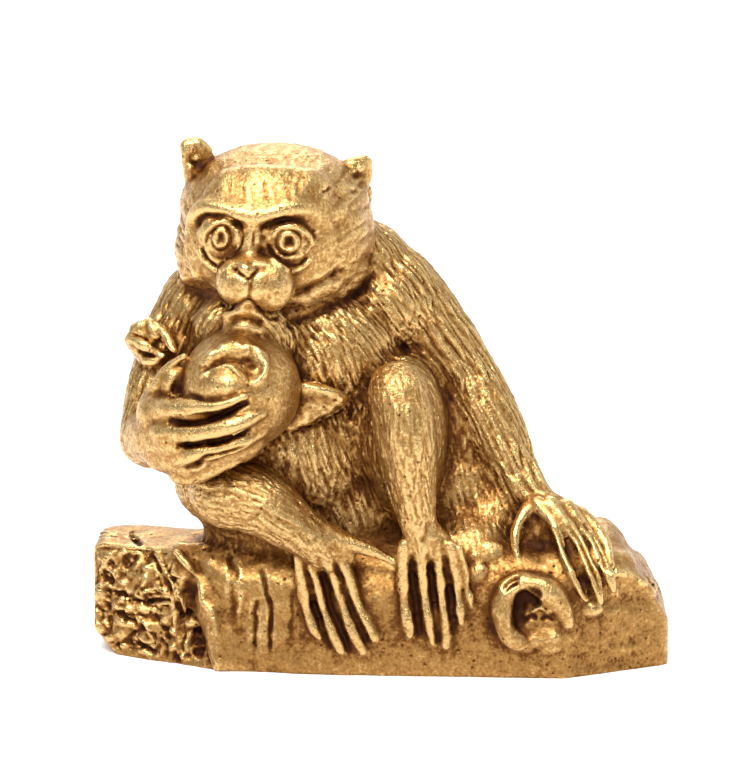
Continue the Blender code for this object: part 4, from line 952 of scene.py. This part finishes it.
def carve_sawn_end(carving):
    """Splits, ridges and pits of the log's sawn end, and the hollow behind its lip."""
    stroke, hollow = carving.stroke, carving.hollow
    hollow((-17.37, 5.21), (0.8, 3.2), 0.6, -14, 3)
    hollow((-16.65, 1.61), (0.9, 2.2), 0.5, -5, 3)
    hollow((-21.69, 8.81), (1.8, 0.9), 0.4, 20)
    hollow((-24.21, 10.88), (1.1, 0.5), -0.3, -10)
    stroke([(-22.50, 11.42), (-22.23, 10.88), (-21.60, 10.16)], 0.22, -0.5)
    stroke([(-21.42, 10.16), (-20.07, 8.09), (-18.99, 6.11), (-18.36, 4.13), (-18.27, 2.33)], 0.35, -0.3)
    stroke([(-20.79, 9.98), (-19.62, 8.09), (-18.63, 6.29), (-17.91, 4.49)], 0.22, 0.25)
    stroke([(-25.02, 6.74), (-24.21, 6.47), (-23.13, 6.11)], 0.25, 0.25)
    stroke([(-25.02, 6.11), (-23.94, 5.93), (-22.32, 5.57)], 0.18, -0.3)
    stroke([(-21.69, 5.84), (-20.61, 6.11), (-19.17, 6.02)], 0.3, 0.35)
    stroke([(-21.42, 4.94), (-20.34, 5.21), (-18.90, 5.21)], 0.22, -0.4)
    stroke([(-24.75, 4.04), (-23.85, 3.77), (-22.68, 3.14)], 0.28, 0.25)
    stroke([(-23.76, 4.13), (-22.77, 3.77), (-21.87, 3.14)], 0.3, -0.4)
    stroke([(-20.79, 4.13), (-19.89, 3.23), (-19.17, 1.61)], 0.3, -0.35)
    stroke([(-21.60, 3.59), (-20.79, 2.33), (-20.25, 0.89)], 0.3, 0.25)
    stroke([(-23.49, 1.61), (-21.69, 1.16), (-20.07, 0.26)], 0.25, -0.25)
    pits = (
        ((-17.55, 5.93), 0.5), ((-17.46, 4.13), 0.5), ((-16.83, 1.52), 0.65), ((-18.45, -0.01), 0.4),
        ((-22.41, 9.08), 0.4), ((-22.50, 1.61), 0.4), ((-16.29, 0.26), 0.4), ((-24.30, 8.27), 0.35),
    )
    for pit, width in pits:
        hollow(pit, (width, 1.2 * width), 0.9 * width, 20)


# Fur and grain


def hash_noise(cells, seed):
    """Repeatable values from -1 to 1 for whole-number cells."""
    mixed = cells @ np.array((374761393, 668265263, 2147483647)) + seed * 1274126177
    mixed &= 0xFFFFFFFF
    for shift, factor in ((13, 1274126177), (16, 2246822519)):
        mixed = ((mixed ^ (mixed >> shift)) * factor) & 0xFFFFFFFF
    return ((mixed ^ (mixed >> 15)) & 0xFFFFFF) / float(0x7FFFFF) - 1


def smooth_noise(places, seed):
    """Noise from -1 to 1 that varies smoothly over a distance of one."""
    cells = np.floor(places).astype(np.int64)
    part = places - cells
    part = part ** 3 * (part * (part * 6 - 15) + 10)
    total = np.zeros(len(places))
    for corner in np.ndindex(2, 2, 2):
        sides = np.where(corner, part, 1 - part)
        total += sides[:, 0] * sides[:, 1] * sides[:, 2] * hash_noise(cells + np.array(corner), seed)
    return total


# Line that the hair follows, length and width of a lock, its height, and the line's reach
COMBS = (
    ([
        (-0.09, 36.71, -2), (4.41, 31.31, -3), (8.01, 25.91, -3), (10.71, 20.51, -4),
        (13.41, 15.56, -6), (15.21, 13.13, -7),
    ], 3.6, 0.43, 0.46, 3.6),
    ([
        (-14.94, 34.91, -5), (-18.27, 30.59, -5), (-19.89, 25.91, -5), (-20.97, 20.51, -6),
    ], 2.4, 0.45, 0.36, 3.2),
    ([(-7.65, 31.13, -8), (-5.04, 27.71, -8), (-3.24, 23.21, -7)], 2.2, 0.42, 0.4, 3.6),
    ([(-2.79, 33.11, -5), (0.99, 28.16, -5), (3.51, 25.01, -5)], 2.8, 0.42, 0.42, 3.2),
    ([(-6.21, 20.51, -8), (-5.04, 16.91, -8), (-2.79, 11.51, -8)], 2.0, 0.38, 0.28, 4.2),
    ([
        (1.26, 25.91, -11), (1.98, 20.51, -12), (2.61, 16.01, -12), (3.69, 10.16, -11.5),
    ], 1.8, 0.34, 0.2, 3.6),
    ([
        (-16.65, 15.65, -9), (-14.31, 15.11, -10), (-10.71, 13.76, -12), (-7.29, 11.51, -12),
        (-4.77, 9.26, -11.5),
    ], 1.9, 0.36, 0.22, 3.6),
    ([(7.29, 20.51, -3), (8.19, 14.21, -5), (8.91, 10.16, -8)], 1.2, 0.5, 0.2, 4.0),
    ([(-8.19, 39.86, 8), (-5.49, 30.41, 8), (-3.24, 21.41, 8), (-2.79, 12.41, 8)], 2.8, 0.6, 0.35, 9.0),
)
HEAD_CENTRE = (-10.71, 36.71, -1.5)
HEAD_FRONT = (-0.2, -0.96, -0.12)


def coats(points, bones):
    """How far each coat covers each point, from the lumps that lie nearest to it."""
    names = sorted({bone[0] for bone in bones})
    away = {name: np.full(len(points), FAR) for name in names}
    for name, start, end, thick, thin in bones:
        start, run = np.array(start), np.array(end - start)
        share = np.clip((points - start) @ run / max(run @ run, 1e-9), 0, 1)
        off = np.linalg.norm(points - start - share[:, None] * run, axis=1)
        off = np.abs(off - thick - (thin - thick) * share)
        np.minimum(away[name], off, out=away[name])
    nearest = np.min(list(away.values()), axis=0)
    cover = {name: np.exp(-np.clip(away[name] - nearest, 0, 5) / 0.3) for name in names}
    total = sum(cover.values())
    return {name: cover[name] / total for name in names}


def along_line(points, line):
    """Distance run along a line of places, two offsets across it and the distance to it."""
    line = np.array([place(*spot) for spot in line])
    steps = np.diff(line, axis=0)
    lengths = np.linalg.norm(steps, axis=1)
    begins = np.concatenate([[0], np.cumsum(lengths)])
    away = np.full(len(points), FAR)
    run = np.zeros(len(points))
    offset = np.zeros_like(points)
    for index, (start, step, long) in enumerate(zip(line, steps, lengths)):
        share = (points - start) @ step / long ** 2
        share = np.clip(share, -9 if index == 0 else 0, 9 if index == len(steps) - 1 else 1)
        off = points - start - share[:, None] * step
        end = np.clip(share, 0, 1)
        distance = np.linalg.norm(points - start - end[:, None] * step, axis=1)
        closer = distance < away
        away[closer] = distance[closer]
        run[closer] = (begins[index] + share * long)[closer]
        offset[closer] = off[closer]
    axis = Vector(line[-1] - line[0]).normalized()
    side = Vector((0, 1, 0)).cross(axis).normalized()
    other = axis.cross(side)
    return run, offset @ np.array(side), offset @ np.array(other), away


def locks(places, seed):
    """Height of long locks with a finer strand pattern on them."""
    lock = np.abs(smooth_noise(places, seed)) ** 0.8 - 0.3
    strand = 0.45 - np.abs(smooth_noise(places * np.array([0.8, 1.5, 1.5]) + 9, seed + 20))
    return 0.8 * lock + 0.6 * strand


def body_hair(points):
    """Height of the combed fur on the body and the direction coordinates of its strands."""
    warp = np.stack([smooth_noise(points / 2.4 + 50 * turn, 9) for turn in (0, 1)], 1)
    height = np.zeros(len(points))
    total = np.full(len(points), 1e-9)
    best = np.zeros(len(points))
    lay = np.zeros_like(points)
    for seed, (line, long, wide, high, reach) in enumerate(COMBS):
        run, side, other, away = along_line(points, line)
        places = np.stack([run / long, side / wide, other / wide], 1)
        places[:, 1:] += 0.4 * warp
        weight = np.exp(-((away / reach) ** 2)) + 1e-6 * np.exp(-away / 6)
        height += weight * high * locks(places, 20 + seed)
        total += weight
        nearer = weight > best
        best[nearer] = weight[nearer]
        lay[nearer] = (places + 40 * seed)[nearer]
    return height / total, lay


def head_hair(points):
    """Height of the hair that runs back from the face, and its direction coordinates."""
    offset = points - np.array(place(*HEAD_CENTRE))
    front = np.array(Vector(HEAD_FRONT).normalized())
    side = np.array([1.0, 0, 0])
    side -= front * (side @ front)
    side /= np.linalg.norm(side)
    up = np.cross(front, side)
    round_face = np.arctan2(offset @ up, offset @ side)
    back = np.arccos(np.clip(offset @ front / np.linalg.norm(offset, axis=1), -1, 1))
    places = np.stack([back * 8 / 1.7, np.cos(round_face) * 8 / 0.75, np.sin(round_face) * 8 / 0.75], 1)
    strand = np.abs(smooth_noise(places, 5)) - 0.3 + 0.4 * smooth_noise(places * np.array([1.3, 2, 2]), 6)
    x, h, _ = on_drawing(points)
    cheeks = 1 / (1 + np.exp((-4.1 - x) / 0.5)) + 1 / (1 + np.exp((x + 16.7) / 0.5))
    crown = 1 / (1 + np.exp((43.4 - h) / 0.3))
    return strand * (0.05 + 0.17 * cheeks + 0.06 * crown * (1 - cheeks)), places


def sawn_relief(points, normals, wood):
    """Height of the folds, lumps and cracks in the log's sawn end, inside its lip."""
    end = wood * np.clip((normals @ np.array(SAWN_FACE) - 0.75) / 0.15, 0, 1)
    rim = -15.2 - 0.44 * (points[:, 2] - 2.0)
    end *= np.clip((rim - points[:, 0]) / 0.8, 0, 1) * np.clip((points[:, 2] - 0.3) / 0.5, 0, 1)
    fold = points / np.array([2.0, 2.0, 1.1]) + 0.9 * smooth_noise(points / 1.8, 72)[:, None]
    crack = np.clip(1 - np.abs(smooth_noise(fold * 0.7, 73)) / 0.12, 0, 1)
    gouge = 0.6 * smooth_noise(fold * 0.95, 70) + 0.34 * smooth_noise(points / 0.75, 71)
    gouge += 0.16 * smooth_noise(points / 0.38, 74) - 0.3 * crack
    return end * 0.8 * gouge


def roughen(figure, bones):
    """Fur, hair, bark and casting grain, and the attributes that the brass reads."""
    mesh = figure.data
    points = read_vectors(mesh.vertices, "co")
    normals = read_vectors(mesh.vertices, "normal")
    cover = coats(points, bones)
    fur, lay = body_hair(points)
    hair, head_lay = head_hair(points)
    facing = -(normals @ np.array(SIGHT))
    height = cover["fur"] * fur * (0.3 + 0.7 * np.clip(facing / 0.5, 0, 1)) + cover["head"] * hair
    height += cover["wood"] * (0.12 * smooth_noise(points / 2.6, 50) + 0.06 * smooth_noise(points / 0.9, 51))
    height += cover["leaf"] * 0.12 * smooth_noise(points / 0.55, 52)
    height += 0.035 * smooth_noise(points / 0.5, 60) + 0.03 * smooth_noise(points / 1.1, 61)
    height += sawn_relief(points, normals, cover["wood"])
    write_points(mesh, points + normals * height[:, None])
    lay[cover["head"] > cover["fur"]] = head_lay[cover["head"] > cover["fur"]]
    write_attribute(mesh, "lay", lay)
    write_attribute(mesh, "hairy", cover["fur"] + cover["head"])
    write_attribute(mesh, "wood", cover["wood"])


# Patina and painted shade


def write_attribute(mesh, name, values):
    kind, field = ("FLOAT", "value") if values.ndim == 1 else ("FLOAT_VECTOR", "vector")
    attribute = mesh.attributes.new(name, kind, "POINT")
    attribute.data.foreach_set(field, values.astype(np.float32).ravel())


def measure_hollows(figure):
    """How deep each point lies below the smoothed skin, at four widths, in millimetres."""
    mesh = figure.data
    points = read_vectors(mesh.vertices, "co")
    normals = read_vectors(mesh.vertices, "normal")
    select_only(figure)
    bpy.ops.object.duplicate()
    smoothed = bpy.context.object
    done = 0
    for name, rounds in HOLLOWS.items():
        apply_modifier(smoothed, "SMOOTH", iterations=rounds - done)
        done = rounds
        sunk = read_vectors(smoothed.data.vertices, "co") - points
        write_attribute(mesh, name, np.einsum("ij,ij->i", sunk, normals))
    bpy.data.meshes.remove(smoothed.data)


# The finished casting


def keep_outer_skin(figure):
    """Takes away closed bubbles left inside the fused clay."""
    select_only(figure)
    bpy.ops.object.mode_set(mode="EDIT")
    bpy.ops.mesh.select_all(action="SELECT")
    bpy.ops.mesh.separate(type="LOOSE")
    bpy.ops.object.mode_set(mode="OBJECT")
    skins = sorted(bpy.context.selected_objects, key=lambda skin: len(skin.data.vertices))
    if len(skins) > 1:
        select_only(*skins[:-1])
        bpy.ops.object.delete()
    return skins[-1]


def thin_out(figure, most):
    """Fewer, larger triangles where the skin is plain, and on the back first."""
    triangles = sum(len(face.vertices) - 2 for face in figure.data.polygons)
    if triangles <= most:
        return
    facing = read_vectors(figure.data.vertices, "normal") @ np.array(SIGHT)
    hidden = figure.vertex_groups.new(name="hidden")
    for chosen, weight in ((facing > 0.1, 1.0), (facing <= 0.1, 0.4)):
        hidden.add(np.nonzero(chosen)[0].tolist(), weight, "REPLACE")
    apply_modifier(
        figure, "DECIMATE", ratio=most / triangles, vertex_group=hidden.name,
        vertex_group_factor=0.001,
    )
    figure.vertex_groups.clear()


def cut_flat_base(figure):
    """Saws off what lies under the ground and closes the cut with a flat face."""
    select_only(figure)
    bpy.ops.object.mode_set(mode="EDIT")
    bpy.ops.mesh.select_all(action="SELECT")
    bpy.ops.mesh.bisect(plane_co=(0, 0, 0), plane_no=(0, 0, -1), use_fill=True, clear_outer=True)
    bpy.ops.mesh.select_all(action="SELECT")
    bpy.ops.mesh.quads_convert_to_tris()
    bpy.ops.object.mode_set(mode="OBJECT")


def put_in_place(figure):
    """Moves the casting from the drawing to the frame, and keeps it in the CAD box."""
    points = read_vectors(figure.data.vertices, "co")
    low, high = points.min(0), points.max(0)
    box_low, box_high = (np.array(corner) / MILLIMETRE for corner in CAD_BOX)
    shift = (low + high) / 2 - (box_low + box_high) / 2
    shift[2] = low[2] - box_low[2]
    points = np.clip(points - shift, box_low, box_high)
    write_points(figure.data, points * MILLIMETRE)
    return Vector(shift)


def model_clay():
    """The figure fused from its lumps, and the lumps."""
    masses = Clay()
    for add in (add_log, add_body, add_arms, add_legs, add_head, add_tail):
        add(masses)
    forms = Clay(masses.fuse("masses", size("mass_grain"), 13), masses.bones)
    for add in (add_face, add_ruff, add_peach, add_palms):
        add(forms)
    fine = Clay(forms.fuse("forms", size("form_grain"), 6), forms.bones)
    for add in (add_ears_and_eyes, add_fingers_on_peach, add_fingers_on_log, add_toes):
        add(fine)
    add_leaves(fine)
    add_log_details(fine)
    grain = size("fine_grain") * 1.0
    figure = keep_outer_skin(fine.fuse(FIGURE, grain, 2))
    figure.name = FIGURE
    return figure, fine.bones


def finish_casting(figure, bones, triangles):
    """Carves and roughens the figure, measures its hollows and stands it in the frame."""
    carving = Carving(figure)
    for carve in (carve_face, carve_peach_and_hand, carve_knot):
        carve(carving)
    carving.press()
    for carve in (carve_limbs, carve_bark, carve_sawn_end):
        carve(carving)
    carving.press()
    roughen(figure, bones)
    measure_hollows(figure)
    cut_flat_base(figure)
    thin_out(figure, triangles)
    figure["drawing_shift"] = put_in_place(figure)
    select_only(figure)
    bpy.ops.object.shade_smooth()


# Materials


class Recipe:
    """Shader nodes of one material, added one after the other."""

    def __init__(self, name):
        self.material = bpy.data.materials.new(name)
        self.material.use_nodes = True
        self.tree = self.material.node_tree
        self.shader = self.tree.nodes["Principled BSDF"]

    def add(self, kind, inputs=None, out=0, **values):
        """Adds a node and gives its output; inputs are numbers, colours or other outputs."""
        node = self.tree.nodes.new("ShaderNode" + kind)
        for name, value in values.items():
            setattr(node, name, value)
        for name, value in (inputs or {}).items():
            self.feed(node.inputs[name], value)
        return node.outputs[out]

    def feed(self, socket, value):
        if isinstance(value, bpy.types.NodeSocket):
            self.tree.links.new(value, socket)
        else:
            socket.default_value = value

    def attribute(self, name, out="Fac"):
        return self.add("Attribute", attribute_name=name, out=out)

    def math(self, operation, first, second=0.0, third=0.0):
        return self.add("Math", {0: first, 1: second, 2: third}, operation=operation)

    def range(self, value, low, high, to_low=0.0, to_high=1.0):
        """Maps low to high onto to_low to to_high, smoothly and within those ends."""
        inputs = {"Value": value, "From Min": low, "From Max": high}
        inputs |= {"To Min": to_low, "To Max": to_high}
        return self.add("MapRange", inputs, interpolation_type="SMOOTHSTEP")

    def noise(self, places, scale, detail=2.0, roughness=0.5):
        inputs = {"Vector": places, "Scale": scale, "Detail": detail, "Roughness": roughness}
        return self.add("TexNoise", inputs)

    def mix(self, share, first, second):
        inputs = {0: share, 6: first, 7: second}
        return self.add("Mix", inputs, out=2, data_type="RGBA")

    def bump(self, height, distance, strength, normal=None):
        inputs = {"Height": height, "Distance": distance, "Strength": strength}
        if normal:
            inputs["Normal"] = normal
        return self.add("Bump", inputs)


def opaque(shade):
    return (*shade, 1.0)


def aged_brass(settings):
    """Cast brass: worn pale on the ridges, brown patina and painted shade in the hollows and recesses, dark
    in the grooves, and painted shade darker towards the bottom.
    """
    recipe = Recipe("aged_brass")
    places = recipe.add("TexCoord", out="Object")
    height = recipe.add("SeparateXYZ", {0: places}, out=2)
    # Painted shade: the brass is darker towards the bottom of the casting and a little paler and more worn
    # at the top
    depth = recipe.range(height, 0.014, 0.0, 0.36, 0.52)
    depth = recipe.math("MULTIPLY_ADD", recipe.attribute("wood"), 0.08, depth)
    for name, strength in (("groove", 7.0), ("hollow", 2.0)):
        depth = recipe.math("MULTIPLY_ADD", recipe.attribute(name), strength, depth)
    # Painted shade: deep recesses and pockets between the parts darken the brass where shade falls
    for name in ("recess", "pocket"):
        sunk = recipe.math("MAXIMUM", recipe.attribute(name), 0.0)
        depth = recipe.math("MULTIPLY_ADD", sunk, 0.8, depth)
    for scale, detail, strength in ((230, 3, 0.25), (1100, 2, 0.25), (3600, 2, 1.3)):
        spots = recipe.math("SUBTRACT", recipe.noise(places, scale, detail, 0.6), 0.5)
        depth = recipe.math("MULTIPLY_ADD", spots, strength, depth)
    pits = recipe.add("TexVoronoi", {"Vector": places, "Scale": 900}, out="Distance")
    pits = recipe.range(pits, 0.17, 0.06)
    depth = recipe.math("MULTIPLY_ADD", pits, 0.5, depth)
    # Tarnish and dirt lay real patina in the grooves together with the painted shade of the recesses,
    # pockets and lower parts
    tarnish_and_painted_shade = recipe.range(depth, 0.45, 1.05)
    dirt_and_painted_shade = recipe.range(depth, 0.95, 1.7)
    wear = recipe.range(depth, 0.5, -0.05)
    shade = recipe.mix(wear, opaque(settings.brass), opaque(settings.gold))
    shade = recipe.mix(tarnish_and_painted_shade, shade, opaque(settings.tarnish_and_painted_shade))
    shade = recipe.mix(dirt_and_painted_shade, shade, opaque(settings.dirt_and_painted_shade))
    recipe.feed(recipe.shader.inputs["Base Color"], shade)
    recipe.feed(recipe.shader.inputs["Metallic"], recipe.range(depth, 0.8, 1.7, 1.0, 0.8))
    rough = recipe.range(depth, -0.1, 1.1, 1.0 - settings.polish, 0.55)
    recipe.feed(recipe.shader.inputs["Roughness"], rough)
    recipe.shader.inputs["Specular IOR Level"].default_value = 0.4
    grain = recipe.noise(places, 4800, 3, 0.7)
    strand = recipe.noise(recipe.attribute("lay", "Vector"), 2.6, 2, 0.5)
    strand = recipe.math("MULTIPLY", strand, recipe.attribute("hairy"))
    normal = recipe.bump(grain, 0.00006, 1.0)
    normal = recipe.bump(strand, 0.00012, 0.7, normal)
    normal = recipe.bump(recipe.math("SUBTRACT", 1.0, pits), 0.00012, 0.8, normal)
    recipe.feed(recipe.shader.inputs["Normal"], normal)
    return recipe.material


def pale_floor(settings):
    """Floor that glows, the more the further it lies behind the figure."""
    recipe = Recipe("pale_floor")
    recipe.feed(recipe.shader.inputs["Base Color"], opaque(settings.floor))
    recipe.feed(recipe.shader.inputs["Roughness"], 0.8)
    recipe.feed(recipe.shader.inputs["Emission Color"], opaque(settings.floor))
    depth = recipe.add("SeparateXYZ", {0: recipe.add("TexCoord", out="Object")}, out=1)
    glow = recipe.range(depth, -0.05, 0.35, settings.floor_glow, settings.backdrop_glow)
    recipe.feed(recipe.shader.inputs["Emission Strength"], glow)
    recipe.material.cycles.emission_sampling = "NONE"
    return recipe.material


# Operators


class MONKEY_OT_casting(bpy.types.Operator):
    """Model the monkey, its peach and the log as one brass casting"""

    bl_idname = "monkey.casting"
    bl_label = "Monkey Casting"

    def execute(self, context):
        settings = context.scene.monkey
        figure, bones = model_clay()
        finish_casting(figure, bones, settings.triangles)
        figure.data.materials.clear()
        figure.data.materials.append(aged_brass(settings))
        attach(figure, "root")
        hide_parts("monkey_figure")
        return {"FINISHED"}


class MONKEY_OT_stage(bpy.types.Operator):
    """Add the pale floor, the soft lights and the camera"""

    bl_idname = "monkey.stage"
    bl_label = "Stage"

    def execute(self, context):
        scene = context.scene
        settings = scene.monkey
        figure = bpy.data.objects[FIGURE]
        shift = Vector(figure["drawing_shift"])
        bpy.ops.mesh.primitive_plane_add(size=4.0, location=(0, 0, 0))
        floor = context.object
        floor.name = "floor"
        floor.data.materials.append(pale_floor(settings))
        scene.world = studio_room(settings)
        middle = (MIDDLE - shift) * MILLIMETRE
        soft_light(middle, *FRONT_LAMP, settings.front_light)
        soft_light(middle, *SIDE_LAMP, settings.side_light)
        soft_light(middle, *BACK_LAMP, settings.back_light)
        bpy.ops.object.light_add(type="SUN", rotation=[math.radians(turn) for turn in SKY_TURN])
        sky = context.object.data
        sky.energy = settings.sky_light
        sky.angle = math.radians(SKY_WIDTH)
        bpy.ops.object.camera_add(location=(EYE - shift) * MILLIMETRE)
        camera = context.object
        camera.rotation_mode = "QUATERNION"
        camera.rotation_quaternion = SIGHT.to_track_quat("-Z", "Y")
        picture = PICTURE_HEIGHT * PIXEL
        camera.data.lens = camera.data.sensor_width * EYE_DISTANCE / picture
        camera.data.clip_start = 0.01
        camera.data.clip_end = 20
        scene.camera = camera
        scene.view_settings.view_transform = "Standard"
        return {"FINISHED"}


def studio_room(settings):
    """Even light from all round, bright behind the figure and dim in front of it."""
    world = bpy.data.worlds.new("studio")
    world.use_nodes = True
    nodes, links = world.node_tree.nodes, world.node_tree.links
    direction = nodes.new("ShaderNodeTexCoord")
    parts = nodes.new("ShaderNodeSeparateXYZ")
    bright = nodes.new("ShaderNodeMapRange")
    bright.interpolation_type = "SMOOTHSTEP"
    values = {"From Min": -0.5, "From Max": 0.6}
    values |= {"To Min": settings.room_front, "To Max": settings.room_back}
    for name, value in values.items():
        bright.inputs[name].default_value = value
    links.new(direction.outputs["Generated"], parts.inputs[0])
    links.new(parts.outputs["Y"], bright.inputs["Value"])
    links.new(bright.outputs["Result"], nodes["Background"].inputs["Strength"])
    nodes["Background"].inputs["Color"].default_value = (1, 1, 1, 1)
    return world


def soft_light(target, offset, width, power):
    """Square area light at offset from target, turned to it."""
    bpy.ops.object.light_add(type="AREA", location=target + Vector(offset))
    light = bpy.context.object
    light.data.size = width
    light.data.energy = power
    light.rotation_mode = "QUATERNION"
    light.rotation_quaternion = (-Vector(offset)).to_track_quat("-Z", "Y")


class MONKEY_PT_panel(bpy.types.Panel):
    """Settings and steps of the brass monkey"""

    bl_idname = "MONKEY_PT_panel"
    bl_label = "Brass Monkey"
    bl_space_type = "VIEW_3D"
    bl_region_type = "UI"
    bl_category = "Brass Monkey"

    def draw(self, context):
        layout = self.layout
        for name in MonkeySettings.__annotations__:
            layout.prop(context.scene.monkey, name)
        for operator in (MONKEY_OT_casting, MONKEY_OT_stage):
            layout.operator(operator.bl_idname)


CLASSES = (MonkeySettings, MONKEY_OT_casting, MONKEY_OT_stage, MONKEY_PT_panel)


def register():
    for cls in CLASSES:
        bpy.utils.register_class(cls)
    bpy.types.Scene.monkey = bpy.props.PointerProperty(type=MonkeySettings)


def unregister():
    del bpy.types.Scene.monkey
    for cls in reversed(CLASSES):
        bpy.utils.unregister_class(cls)


def main():
    register()
    bpy.ops.monkey.casting()
    bpy.ops.monkey.stage()


if __name__ == "__main__":
    main()
